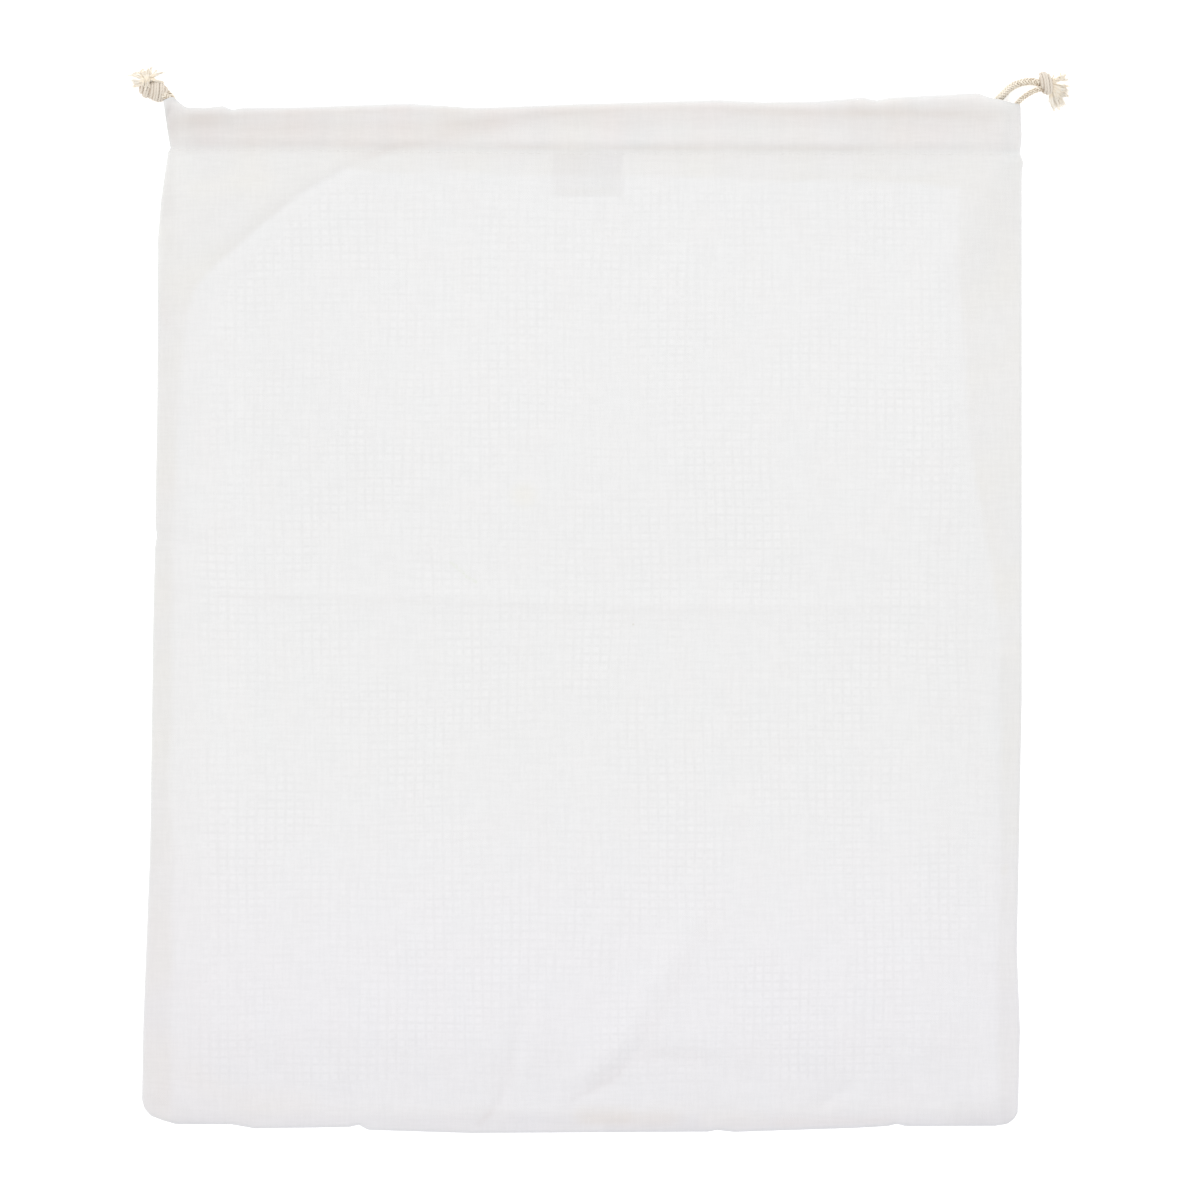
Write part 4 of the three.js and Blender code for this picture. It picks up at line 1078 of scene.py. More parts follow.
# %% Masks
# The ends of a mark fade over this length. Broader and shorter marks keep their ends
MARK_FADE = 9.0
THIN_MARK = 2.3
# The tab as it shows, and how soft its edges are
TAB_SIDES = (-10.3, 13.8)
TAB_LOW = 144.2
TAB_HIGH = 158.0
TAB_EDGE = 1.2
TAB_FADE = 3


def mark_mask(path, half, soft, x, y):
    """1 along a path, 0 away from it. The ends of a thin mark fade out, those of a broad one don't."""
    away, along = near_path(path, x, y)
    mask = 1 - smooth((away - half + soft / 2) / soft)
    steps = np.diff(np.array(path, dtype=float), axis=0)
    length = np.hypot(steps[:, 0], steps[:, 1]).sum()
    if half > THIN_MARK or length < MARK_FADE:
        return mask
    fade = min(MARK_FADE, length / 3)
    return mask * smooth(along * length / fade) * smooth((1 - along) * length / fade)


def tab_mask(x, y):
    """The label's tab, whose doubled tape shows through as a plain patch."""
    left, right = TAB_SIDES
    across = smooth((x - left) / TAB_EDGE + 0.5) * smooth((right - x) / TAB_EDGE + 0.5)
    return across * smooth((y - TAB_LOW) / TAB_EDGE + 0.5) * (1 - smooth((y - TAB_HIGH) / TAB_FADE))


def layers_behind(x, y):
    """How far the cloth counts as doubled, from 0 to 1, and how far inside the net's window it lies."""
    wobble = 0.6 * ripple(x, y, 46, 21)
    to_left = x - edge_at(SHOWN_LEFT, y) + wobble
    to_right = edge_at(WINDOW_RIGHT, y) - x + wobble
    to_bottom = y - WINDOW_BOTTOM + wobble
    to_top = edge_at(SHOWN_TOP, x) - y + wobble
    sides = np.maximum(1 - smooth(to_left / 3.4 + 0.5), 1 - smooth(to_right / 2.8 + 0.5))
    bottom = 0.55 * (1 - smooth(to_bottom / 5.0 + 0.5))
    doubled = np.maximum(np.maximum(sides, bottom), 1 - smooth(to_top / 2.6 + 0.5))
    inside = np.minimum(np.minimum(to_left - 6, to_right), np.minimum(to_bottom - 4, to_top))
    return doubled, inside


print("share of the front that is doubled:", layers_behind(cloth_x, cloth_y)[0].mean().round(2))

# %% [markdown]
# ### Painting the front
# First come the layers, each with its own share of dark, pink and straw. Then the marks, many of which are
# painted shade and painted light, then the painted shade and light of the casing's gathers and the painted
# shade in its left corner, then a few random waves that break up what is too even, and last the rim, where
# the rounded cloth is painted grey as shade, with a painted shade along the top fold. The shares are held
# within limits, so that marks that cross don't add up to a stain.

# %% The front's tint
# How dark, pink and like straw the doubled cloth, the casing and the tab are
DOUBLED_DARK = 0.026
CASING_DARK = 0.012
TAB_DARK = 0.042
CASING_PINK = 0.33
DOUBLED_PINK = 0.07
TAB_PINK = 0.08
CASING_STRAW = 0.17
DOUBLED_STRAW = 0.26
# Painted shade and painted light of the casing's small gathers, and painted shade in its left corner and
# along the top fold
GATHER_SHADE = 0.004
CORNER_SHADE = 0.022
TOP_FOLD_SHADE = 0.018
SHARE_LIMITS = (-0.6, 1.4)
# How far inside its window the net shows fully, and the limits of its uneven strength
NET_FADE = 7
NET_LIMITS = (0.15, 1.2)


def painted_shares(x, y, doubled, casing):
    """How dark, how pink and how much like straw each point is, with the painted shade and light of the
    marks, the gathers and the left corner.
    """
    tab = tab_mask(x, y)
    tone = 1 - DOUBLED_DARK * doubled - CASING_DARK * casing
    tone = tone - TAB_DARK * tab
    pink = CASING_PINK * casing + DOUBLED_PINK * doubled * (1 - casing) + TAB_PINK * tab
    straw = DOUBLED_STRAW * doubled * (1 - casing) * (1 - 0.5 * tab) + CASING_STRAW * casing
    # Each mark adds its painted shade (below 0, painted light), its pink and its straw
    for path, half, soft, painted_shade, pinker, strawier in CASING_SHADE_AND_TINT_MARKS + PANEL_SHADE_AND_TINT_MARKS + SHADES:
        mask = mark_mask(path, half, soft, x, y)
        tone = tone - painted_shade * mask
        pink = pink + pinker * mask
        straw = straw + strawier * mask
    # Painted shade and painted light of the casing's small gathers
    gather_shading = ripple(2.2 * x, 0.12 * y, 13, 27)
    tone = tone + GATHER_SHADE * gather_shading * smooth((y - 158) / 3)
    # Painted shade in the casing's left corner
    tone = tone - CORNER_SHADE * smooth((y - 157) / 4) * smooth((-118 - x) / 18)
    straw = straw + 0.12 * ripple(x, y, 24, 28) * np.maximum(doubled, casing)
    pink = pink + 0.10 * ripple(x, y, 19, 29) * np.maximum(0.3, casing)
    return tone, pink, straw


def cloth_tint(x, y):
    """The colour of the front at each point, with its painted shade and light, and how clearly the net shows
    there.
    """
    doubled, inside = layers_behind(x, y)
    casing = smooth((y - stitches(x)) / 1.6)
    tone, pink, straw = painted_shares(x, y, doubled, casing)
    lilac = smooth((-35 - y) / 110)
    from_top = top_edge(x) - y
    from_side = np.minimum(x - left_edge(y), right_edge(y) - x)
    # Painted shade: the rim, where the cloth rounds over, is tinted grey
    rim = 1 - smooth(np.minimum(np.minimum(from_side, y - bottom_edge(x)), from_top) / 1.5)
    to_right_half = smooth((x + 20) / 40)
    # Painted shade along the top fold, stronger on the right half
    tone = tone - (TOP_FOLD_SHADE + TOP_FOLD_SHADE * to_right_half) * (1 - smooth(from_top / 1.7))
    pink = pink * (1 - 0.8 * rim)
    tint = PLAIN * tone[..., None]
    for share, colour in ((pink, PINK), (straw, STRAW), (lilac, LILAC), (rim, RIM_SHADE_GREY)):
        tint = tint * (1 + np.clip(share, *SHARE_LIMITS)[..., None] * (colour - 1))
    patches = 0.7 + 0.35 * ripple(x, y, 60, 22) + 0.25 * ripple(x, y, 26, 24)
    net = smooth(inside / NET_FADE) * np.clip(patches, *NET_LIMITS)
    return tint, net


tint, net = cloth_tint(cloth_x, cloth_y)
print("green channel from", tint[..., 1].min().round(3), "to", tint[..., 1].max().round(3))

# %% [markdown]
# ## Turning the edges
# The last points of the front's grid are joined to two more strips. One goes from the top fold down
# the inside of the casing. The other runs round both sides and the bottom: it curls under the rim and
# lies flat on the table up to the net's window, where it ends on a rectangle with rounded corners.

# %% Turned edges
INNER_ROWS = [0.0, 0.25, 0.9, 1.9, 2.85, 4.5, 7.0, 10.0, 13.0, 16.0]
# Between these two places the casing is an open tunnel
TUNNEL_LEFT = -126
TUNNEL_RIGHT = 130.5
HEM_TURN = 1.3
HEM_CORNER = 3.0
# Near the top corners the hem is held this far below the top edge, and climbs slower past that
HEM_BELOW_TOP = 2.5
HEM_CLIMB = 0.08


def inner_casing(x, y_top):
    """Rows of points from the top fold down the casing's inner layer."""
    half = CASING / 2
    rows = []
    for drop in INNER_ROWS[1:]:
        fall = half * round_over(np.minimum(drop, half) / half)
        low = stitches(x) - HEM_TURN
        y = y_top - drop * (y_top - low) / INNER_ROWS[-1]
        rows.append(np.stack([x, y, casing_under(x) + half - fall], axis=-1))
    return rows


def hem_target(x, y):
    """The place on the window's rounded outline that is nearest to a point of the rim."""
    left = edge_at(WINDOW_LEFT, y) + HEM_CORNER
    right = edge_at(WINDOW_RIGHT, y) - HEM_CORNER
    cx = np.clip(x, left, right)
    cy = np.maximum(y, WINDOW_BOTTOM + HEM_CORNER)
    away = np.hypot(x - cx, y - cy)
    hem_x = cx + (x - cx) / away * HEM_CORNER
    hem_y = cy + (y - cy) / away * HEM_CORNER
    limit = top_edge(hem_x) - HEM_BELOW_TOP
    return hem_x, np.where(hem_y > limit, limit + HEM_CLIMB * (hem_y - limit), hem_y)


print("the hem ends", hem_target(np.array([-150.0]), np.array([0.0]))[0].round(1), "mm from the middle")

# %% [markdown]
# ### One sheet
# Each strip starts at points that the grid already has, so the sheet has no seam in it: the first row of
# a strip is the last row of what it hangs on. Only the new rows add points.

# %% Front cloth mesh
# How far in from the rim, and at what height, the cloth curls under
CURL = [(0.25, 0.7), (0.6, 0.35), (1.2, 0.14)]
UNDER_SHARES = [0.25, 0.5, 0.75, 1.0]
HEM_LIFT = 0.16
UNDER_MARGIN = 1.0
BACK_TONE = 0.97
front_rows, front_columns = cloth_x.shape
front_points = np.stack([cloth_x, cloth_y, cloth_z], axis=-1)
front_parts = [front_points.reshape(-1, 3)]
front_faces = [grid_faces(front_rows, front_columns)]
paint = [np.dstack([tint, net]).reshape(-1, 4)]
count = front_rows * front_columns

top_x = cloth_x[-1]
within = np.flatnonzero((top_x > TUNNEL_LEFT) & (top_x < TUNNEL_RIGHT))
inner = inner_casing(top_x[within], cloth_y[-1][within])
ids = [(front_rows - 1) * front_columns + within]
for row in inner:
    front_parts.append(row)
    ids.append(count + np.arange(len(within)))
    count += len(within)
for low, high in zip(ids, ids[1:]):
    front_faces.append(np.stack([low[:-1], low[1:], high[1:], high[:-1]], axis=1))

left_column = [j * front_columns for j in range(front_rows - 1, -1, -1)]
bottom_row = list(range(1, front_columns))
right_column = [j * front_columns + front_columns - 1 for j in range(1, front_rows)]
rim = np.array(left_column + bottom_row + right_column)
rim_points = front_parts[0][rim]
hem_x, hem_y = hem_target(rim_points[:, 0], rim_points[:, 1])
inward = np.stack([hem_x, hem_y], axis=1) - rim_points[:, :2]
reach = np.linalg.norm(inward, axis=1, keepdims=True)
ids = [rim]
for distance, height in CURL:
    flat = rim_points[:, :2] + inward / reach * distance
    front_parts.append(np.column_stack([flat, np.full(len(rim), height)]))
for share in UNDER_SHARES:
    flat = rim_points[:, :2] + inward * (CURL[-1][0] / reach + (1 - CURL[-1][0] / reach) * share)
    flat[:, 1] = np.minimum(flat[:, 1], top_edge(flat[:, 0]) - UNDER_MARGIN)
    front_parts.append(np.column_stack([flat, np.full(len(rim), HEM_LIFT)]))
for _ in range(len(CURL) + len(UNDER_SHARES)):
    ids.append(count + np.arange(len(rim)))
    count += len(rim)
for low, high in zip(ids, ids[1:]):
    front_faces.append(np.stack([low[:-1], high[:-1], high[1:], low[1:]], axis=1))
extra = count - len(paint[0])
paint.append(np.tile([*(PLAIN * BACK_TONE), 0.0], (extra, 1)))
painted = np.vstack(paint)
front = new_piece(
    "front_cotton",
    np.vstack(front_parts),
    np.vstack(front_faces),
    "cotton_panel",
    {"tint": painted[:, :3], "net": painted[:, 3]},
)
print("front faces:", len(front.data.polygons))

# %% [markdown]
# ## The back band
# The back has a casing of its own, so that the two cords can run right round the mouth. It is one
# strip of plain cotton: a flap sewn over the top of the net, then up, over the fold and down inside to
# the same line of stitches.

# %% Back band
BACK_TOP = [(-126, 174.2), (0, 175.2), (131, 178.4)]
BAND_STEP = 1.6
# How far the flap hangs over the net's top, and how high it lies there and at the stitches
FLAP_PAST = 1.5
FLAP_HEIGHT = 0.28
SEAM_HEIGHT = 0.4
BAND_SLOPE = 0.1
# The last points, from inside the casing down to its stitches: above the stitches, and how high
TO_STITCHES = [(1.6, 4.3), (0.6, 2.0), (0.0, 0.95), (-HEM_TURN, 0.85)]
BAND_WAVES = 0.12
BAND_LOWEST = 0.12
BAND_TONE = 0.98


def band_profile(x):
    """One line of points up the flap, over the back casing's fold and down to its stitches."""
    half = CASING / 2
    low = edge_at(NET_TOP, x) - FLAP_PAST
    seam = stitches(x)
    high = edge_at(BACK_TOP, x)
    rows = [(low + (seam - low) * s, FLAP_HEIGHT + BAND_SLOPE * s) for s in np.linspace(0, 1, 14)]
    rows += [(seam + (high - half - seam) * s, SEAM_HEIGHT - BAND_SLOPE * s) for s in (0.08, 0.3, 0.6, 1.0)]
    turn = np.linspace(-np.pi / 2, np.pi / 2, 9)[1:]
    rows += [(high - half + half * math.cos(a), half + 0.1 + (half - 0.25) * math.sin(a)) for a in turn]
    rows += [(high - half + (seam + 3 - high + half) * s, CASING - 0.15) for s in (0.25, 0.5, 0.75, 1.0)]
    rows += [(seam + up, height) for up, height in TO_STITCHES]
    return [(x, y, z) for y, z in rows]


band_places = np.linspace(TUNNEL_LEFT, TUNNEL_RIGHT, int((TUNNEL_RIGHT - TUNNEL_LEFT) / BAND_STEP) + 1)
band_points = np.array([band_profile(x) for x in band_places])
band_waves = BAND_WAVES * ripple(band_points[..., 0], band_points[..., 1], 18, 31)
band_points[..., 2] = np.maximum(band_points[..., 2] + band_waves, BAND_LOWEST)
back_band = new_piece(
    "back_band",
    band_points.reshape(-1, 3),
    grid_faces(*band_points.shape[:2]),
    "back_casing",
    {
        "tint": np.tile(PLAIN * BAND_TONE, (band_points[..., 0].size, 1)),
        "net": np.zeros(band_points[..., 0].size),
    },
)
print("back band faces:", len(back_band.data.polygons))

# %% [markdown]
# ## The net
# Behind the front is an open net, which lets the vegetables breathe. Two sets of threads cross at each
# corner of a mesh, and each goes over one crossing and under the next. The threads are real tubes: a
# see-through picture of a net on a flat sheet looks wrong from close by.

# %% Net threads
# The pitch of the meshes, and the ranges that the threads are spread over
NET_ACROSS = 3.25
NET_UP = 2.9
NET_X_RANGE = (-143.5, 146.0)
NET_Y_RANGE = (-172.0, 155.0)
NET_THREAD = 0.46
NET_THREAD_HIGH = NET_THREAD * 0.9
# How high the middle of the net lies above the table
NET_MIDDLE = 0.62
# How far the threads run on under the borders
NET_PAST = 1.5
# Shorter threads than this many crossings are left out
NET_FEWEST = 4
# How far a thread goes over and under the ones that it crosses, and how far it bends aside
NET_WAVE = 0.16
NET_BOW = 0.35
NET_BOW_LENGTH = 60


def net_thread(x, y, crossing, to_x, to_y, seed):
    """A thread that goes over one crossing and under the next, and bends a little aside."""
    wave = NET_WAVE * (1 - 2 * (crossing % 2))
    bow = NET_BOW * ripple(x, y, NET_BOW_LENGTH, seed)
    path = np.column_stack([x + to_x * bow, y + to_y * bow, NET_MIDDLE + wave])
    return tube(path, NET_THREAD, NET_THREAD_HIGH, 4)


def net_threads():
    """First the threads that run up the net, then those that run across it."""
    xs = np.arange(*NET_X_RANGE, NET_ACROSS)
    ys = np.arange(*NET_Y_RANGE, NET_UP)
    parts = []
    for i, x in enumerate(xs):
        y = ys[(x > edge_at(WINDOW_LEFT, ys) - NET_PAST) & (x < edge_at(WINDOW_RIGHT, ys) + NET_PAST)]
        y = y[y < edge_at(NET_TOP, x) + NET_PAST]
        row = np.round((y - ys[0]) / NET_UP).astype(int)
        if len(y) >= NET_FEWEST:
            parts.append(net_thread(x + 0 * y, y, row + i, 1, 0, 41))
    for j, y in enumerate(ys):
        x = xs[(xs > edge_at(WINDOW_LEFT, y) - NET_PAST) & (xs < edge_at(WINDOW_RIGHT, y) + NET_PAST)]
        x = x[y < edge_at(NET_TOP, x) + NET_PAST]
        column = np.round((x - xs[0]) / NET_ACROSS).astype(int)
        if len(x) >= NET_FEWEST:
            parts.append(net_thread(x, y + 0 * x, column + j + 1, 0, 1, 42))
    return parts


net_points, net_faces, _ = join(net_threads())
net_piece = new_piece("net_threads", net_points, net_faces, "net_panel")
print("net faces:", len(net_faces))

# %% [markdown]
# ## The label
# A short piece of woven tape is sewn in under the back casing's stitches. It is left blank. The tape is
# folded at its lower end, so it lies a little higher there.

# %% Label
LABEL_LEFT = -10.3
LABEL_RIGHT = 13.6
LABEL_LOW = 144.2
LABEL_HIGH = 158.0
# How high the tape lies, and how far and over what length its fold rises
LABEL_BASE = 1.4
LABEL_FOLD = 6
LABEL_LIFT = 0.5
LABEL_WAVES = 0.08


def tape_label():
    """The points of the tape, row by row."""
    u, v = np.meshgrid(np.linspace(0, 1, 25), np.linspace(0, 1, 15))
    x = LABEL_LEFT + (LABEL_RIGHT - LABEL_LEFT) * u
    y = LABEL_LOW + (LABEL_HIGH - LABEL_LOW) * v
    fold = smooth((LABEL_LOW + LABEL_FOLD - y) / LABEL_FOLD)
    z = LABEL_BASE + LABEL_LIFT * fold + LABEL_WAVES * ripple(x, y, 9, 51)
    return np.stack([x, y, z], axis=-1)


label_points = tape_label()
label = new_piece(
    "blank_label", label_points.reshape(-1, 3), grid_faces(*label_points.shape[:2]), "label"
)

# %% [markdown]
# ## The stitches
# Stitches are the last of the sewing. Each is a short bead of thread that sinks into the cloth at both
# ends, a lockstitch as a domestic machine makes it. One row closes the casing, and three hold the hem
# round the net.

# %% Stitches
STITCH = 2.4
STITCH_GAP = 0.5
THREAD = 0.13
THREAD_HIGH = THREAD * 0.7
# How high a stitch lies along its length
BEAD = np.array([-0.14, -0.01, 0.03, 0.03, -0.01, -0.14])
SEAM_DROP = -0.7
SEAM_ENDS = (-141, 149)
SEAM_SINK = 0.02
# The rows of the hem: how far from the net's window, how high, and where they start
HEM_ASIDE = 1.6
HEM_HEIGHT = 0.3
HEM_LOW = -171.5


def stitch_row(path, height):
    """Stitches along a path, each a bead of thread that dips at both ends."""
    path = np.array(path, dtype=float)
    run = distances(path)
    parts = []
    for start in np.arange(0.0, run[-1] - STITCH, STITCH + STITCH_GAP):
        s = np.linspace(start, start + STITCH, len(BEAD))
        x = np.interp(s, run, path[:, 0])
        y = np.interp(s, run, path[:, 1])
        parts.append(tube(np.column_stack([x, y, height(x, y) + BEAD]), THREAD, THREAD_HIGH, 5))
    return parts


def seam_height(x, y):
    """Just sunk into the front."""
    return front_height(x, y) - SEAM_SINK


def hem_height(x, y):
    """On the hem, which lies flat on the table."""
    return HEM_HEIGHT + 0 * x


seam_x = np.linspace(*SEAM_ENDS, 200)
stitch_parts = stitch_row(np.column_stack([seam_x, stitches(seam_x) + SEAM_DROP]), seam_height)
for window, aside in ((WINDOW_LEFT, -HEM_ASIDE), (WINDOW_RIGHT, HEM_ASIDE)):
    side_row = [(window[0][1] + aside, HEM_LOW)]
    side_row += [(edge + aside, at) for at, edge in window[1:]]
    stitch_parts += stitch_row(side_row, hem_height)
bottom_line = WINDOW_BOTTOM - HEM_ASIDE
bottom_ends = [(WINDOW_LEFT[0][1], bottom_line), (WINDOW_RIGHT[0][1], bottom_line)]
stitch_parts += stitch_row(bottom_ends, hem_height)
stitch_points, stitch_faces, _ = join(stitch_parts)
stitching = new_piece("seam_stitches", stitch_points, stitch_faces)
print("stitches:", len(stitch_parts))

# %% [markdown]
# ## Shader building blocks
# The cotton, the tape, the net and the cords are all spun from the same fibre, so two effects are
# shared: the little ridges of a weave or a ply, and the brown flecks of seed husk that unbleached
# cotton keeps. Each is a node group, built once, with inputs for its scale and strength.

# %% Node helpers
def new_group(name, inputs, outputs):
    """An empty shader node group with named sockets. Each input has a name and a first value."""
    group = bpy.data.node_groups.new(name, "ShaderNodeTree")
    for label, value in inputs:
        socket = group.interface.new_socket(label, in_out="INPUT", socket_type="NodeSocketFloat")
        socket.default_value = value
    for label in outputs:
        group.interface.new_socket(label, in_out="OUTPUT", socket_type="NodeSocketFloat")
    return group, group.nodes.new("NodeGroupInput"), group.nodes.new("NodeGroupOutput")


def feed(tree, socket, value):
    """Links a socket to another one, or sets its value."""
    if isinstance(value, bpy.types.NodeSocket):
        tree.links.new(value, socket)
    else:
        socket.default_value = value


def maths(tree, operation, a, b=0.0, c=0.0):
    """One step of arithmetic, on numbers or on sockets."""
    node = tree.nodes.new("ShaderNodeMath")
    node.operation = operation
    for socket, value in zip(node.inputs, (a, b, c)):
        feed(tree, socket, value)
    return node.outputs[0]


def noise(tree, vector, scale, detail=2.0, roughness=0.5):
    """Soft random values between 0 and 1."""
    node = tree.nodes.new("ShaderNodeTexNoise")
    feed(tree, node.inputs["Vector"], vector)
    node.inputs["Scale"].default_value = scale
    node.inputs["Detail"].default_value = detail
    node.inputs["Roughness"].default_value = roughness
    return node.outputs["Fac"]


def stretched(tree, vector, scale):
    """The same place, stretched differently along each axis."""
    node = tree.nodes.new("ShaderNodeMapping")
    feed(tree, node.inputs["Vector"], vector)
    node.inputs["Scale"].default_value = scale
    return node.outputs["Vector"]


def place(tree):
    """Where a point lies, in metres."""
    return tree.nodes.new("ShaderNodeTexCoord").outputs["Object"]


print("node helpers ready")

# %% [markdown]
# ### Ranges, colours and stored values
# The rest of the helpers turn numbers into shares and shares into colours, and fetch what the points of
# a mesh have stored: the front's tint, the net's strength, the grooves of a cord and the frayed ends.

# %% Colour helpers
def span(tree, value, low, high, to_low=0.0, to_high=1.0):
    """A value's range mapped onto another one, held at both ends."""
    node = tree.nodes.new("ShaderNodeMapRange")
    node.interpolation_type = "SMOOTHSTEP"
    for label, number in (
        ("Value", value), ("From Min", low), ("From Max", high), ("To Min", to_low), ("To Max", to_high)
    ):
        feed(tree, node.inputs[label], number)
    return node.outputs["Result"]


def blend_colours(tree, share, first, second):
    """From the first colour to the second as the share goes from 0 to 1."""
    node = tree.nodes.new("ShaderNodeMix")
    node.data_type = "RGBA"
    feed(tree, node.inputs["Factor"], share)
    feed(tree, node.inputs[6], first)
    feed(tree, node.inputs[7], second)
    return node.outputs[2]


def scaled_colour(tree, colour, factor):
    """A colour made lighter or darker."""
    node = tree.nodes.new("ShaderNodeVectorMath")
    node.operation = "SCALE"
    feed(tree, node.inputs[0], colour)
    feed(tree, node.inputs["Scale"], factor)
    return node.outputs["Vector"]


def attribute(tree, name):
    """A number that is stored in a mesh's points."""
    node = tree.nodes.new("ShaderNodeAttribute")
    node.attribute_name = name
    return node.outputs["Fac"]


def colour_attribute(tree, name):
    """A colour that is stored in a mesh's points."""
    node = tree.nodes.new("ShaderNodeAttribute")
    node.attribute_name = name
    return node.outputs["Color"]


print("colour helpers ready")

# %% [markdown]
# ### Weave
# A plain weave is two sets of waves at right angles. Real yarn is uneven, thicker in slubs that run
# on for a centimetre or two, and those slubs are what one sees from a distance. So the group adds
# noise that is stretched far along each set of threads.

# %% Weave group
# How far the threads stray from straight lines, in metres
WOBBLE = 0.004
# Noise is stretched along x for one set of threads and along y for the other
SLUB_STRETCH = [(0.12, 1.0, 0.1), (1.0, 0.12, 0.1)]
SLUB_RANGE = (0.38, 0.62)
WEAVE_SHARE = 0.25
weave, weave_in, weave_out = new_group(
    "plain_weave", [("Threads per metre", 1600.0), ("Slub scale", 1000.0)], ["Height", "Slubs"]
)


def fill_weave():
    """The waves of both sets of threads, and the slubs that run along each."""
    here = place(weave)
    parts = weave.nodes.new("ShaderNodeSeparateXYZ")
    weave.links.new(here, parts.inputs[0])
    wobble = maths(weave, "MULTIPLY", noise(weave, here, 180.0), WOBBLE)
    waves = []
    for axis in (0, 1):
        shifted = maths(weave, "ADD", parts.outputs[axis], wobble)
        turns = maths(weave, "MULTIPLY", shifted, weave_in.outputs["Threads per metre"])
        waves.append(maths(weave, "SINE", maths(weave, "MULTIPLY", turns, FULL_TURN)))
    crossing = maths(weave, "MULTIPLY", waves[0], waves[1])
    slubs = []
    for scale in SLUB_STRETCH:
        node = weave.nodes.new("ShaderNodeTexNoise")
        weave.links.new(stretched(weave, here, scale), node.inputs["Vector"])
        weave.links.new(weave_in.outputs["Slub scale"], node.inputs["Scale"])
        node.inputs["Detail"].default_value = 3.0
        node.inputs["Roughness"].default_value = 0.7
        slubs.append(node.outputs["Fac"])
    both = maths(weave, "MULTIPLY", maths(weave, "ADD", *slubs), 0.5)
    height = maths(weave, "ADD", maths(weave, "MULTIPLY", crossing, WEAVE_SHARE), both)
    weave.links.new(height, weave_out.inputs["Height"])
    weave.links.new(span(weave, both, *SLUB_RANGE), weave_out.inputs["Slubs"])


fill_weave()
print("weave group:", len(weave.nodes), "nodes")

# %% [markdown]
# ### Seed flecks
# Unbleached cotton keeps a few specks of seed husk. They are rare and small: a Voronoi pattern gives
# one candidate spot to each cell, and a threshold on the cell's own random number leaves only a few.

# %% Fleck group
# The largest spot, as a share of a cell
LARGEST_FLECK = 0.03
flecks, flecks_in, flecks_out = new_group("seed_flecks", [("Scale", 60.0), ("Share", 0.08)], ["Mask"])


def fill_flecks():
    """A small spot in each cell that is chosen, of a size that the cell's colour sets."""
    here = place(flecks)
    node = flecks.nodes.new("ShaderNodeTexVoronoi")
    flecks.links.new(here, node.inputs["Vector"])
    flecks.links.new(flecks_in.outputs["Scale"], node.inputs["Scale"])
    parts = flecks.nodes.new("ShaderNodeSeparateColor")
    flecks.links.new(node.outputs["Color"], parts.inputs[0])
    chosen = maths(flecks, "LESS_THAN", parts.outputs[0], flecks_in.outputs["Share"])
    size = maths(flecks, "MULTIPLY", parts.outputs[1], LARGEST_FLECK)
    spot = maths(flecks, "LESS_THAN", node.outputs["Distance"], size)
    flecks.links.new(maths(flecks, "MULTIPLY", chosen, spot), flecks_out.inputs["Mask"])


fill_flecks()
print("fleck group:", len(flecks.nodes), "nodes")

# %% [markdown]
# ## What all the cotton has in common
# Cotton is matt: rough, hardly any mirror shine, and a little sheen from the fibres that stand up. The
# materials below all start from this one, and get their weave or ply as a bump, which is enough for
# ridges far thinner than a millimetre.

# %% Materials' common start
SHINE = 0.15
SHEEN_ROUGHNESS = 0.5
# How high the ridges of the cloths and of the cords' fibres are, in metres
CLOTH_RIDGE = 0.0002
FIBRE_RIDGE = 0.0001


def new_material(name, roughness, sheen=0.0):
    """A matt material, its node tree and its shader."""
    material = bpy.data.materials.new(name)
    material.use_nodes = True
    shader = material.node_tree.nodes["Principled BSDF"]
    shader.inputs["Roughness"].default_value = roughness
    shader.inputs["Specular IOR Level"].default_value = SHINE
    shader.inputs["Sheen Weight"].default_value = sheen
    shader.inputs["Sheen Roughness"].default_value = SHEEN_ROUGHNESS
    return material, material.node_tree, shader


def use_group(tree, group, **values):
    """A shared effect in this material. An input's name is given with _ for each space."""
    node = tree.nodes.new("ShaderNodeGroup")
    node.node_tree = group
    for label, value in values.items():
        feed(tree, node.inputs[label.replace("_", " ")], value)
    return node


def bump(tree, shader, height, strength, distance):
    """Small ridges that only the light sees."""
    node = tree.nodes.new("ShaderNodeBump")
    node.inputs["Strength"].default_value = strength
    node.inputs["Distance"].default_value = distance
    feed(tree, node.inputs["Height"], height)
    tree.links.new(node.outputs["Normal"], shader.inputs["Normal"])


print("shared effects:", weave.name, "and", flecks.name)

# %% [markdown]
# ## A bit of husk
# One larger bit of seed husk lies in the cloth near its middle. It is faint and broken. Two short lines
# with rounded ends give its place, each from a distance that is worked out with nodes.

# %% Husk
HUSK = (0.66, 0.70, 0.58, 1.0)
HUSK_BITS = [((-45.7, 17.9), (-41.2, 14.1)), ((-40.7, 13.1), (-36.7, 10.8))]
HUSK_HALF = 0.8
# The mask is full up to this share of the half width
HUSK_CORE = 0.4


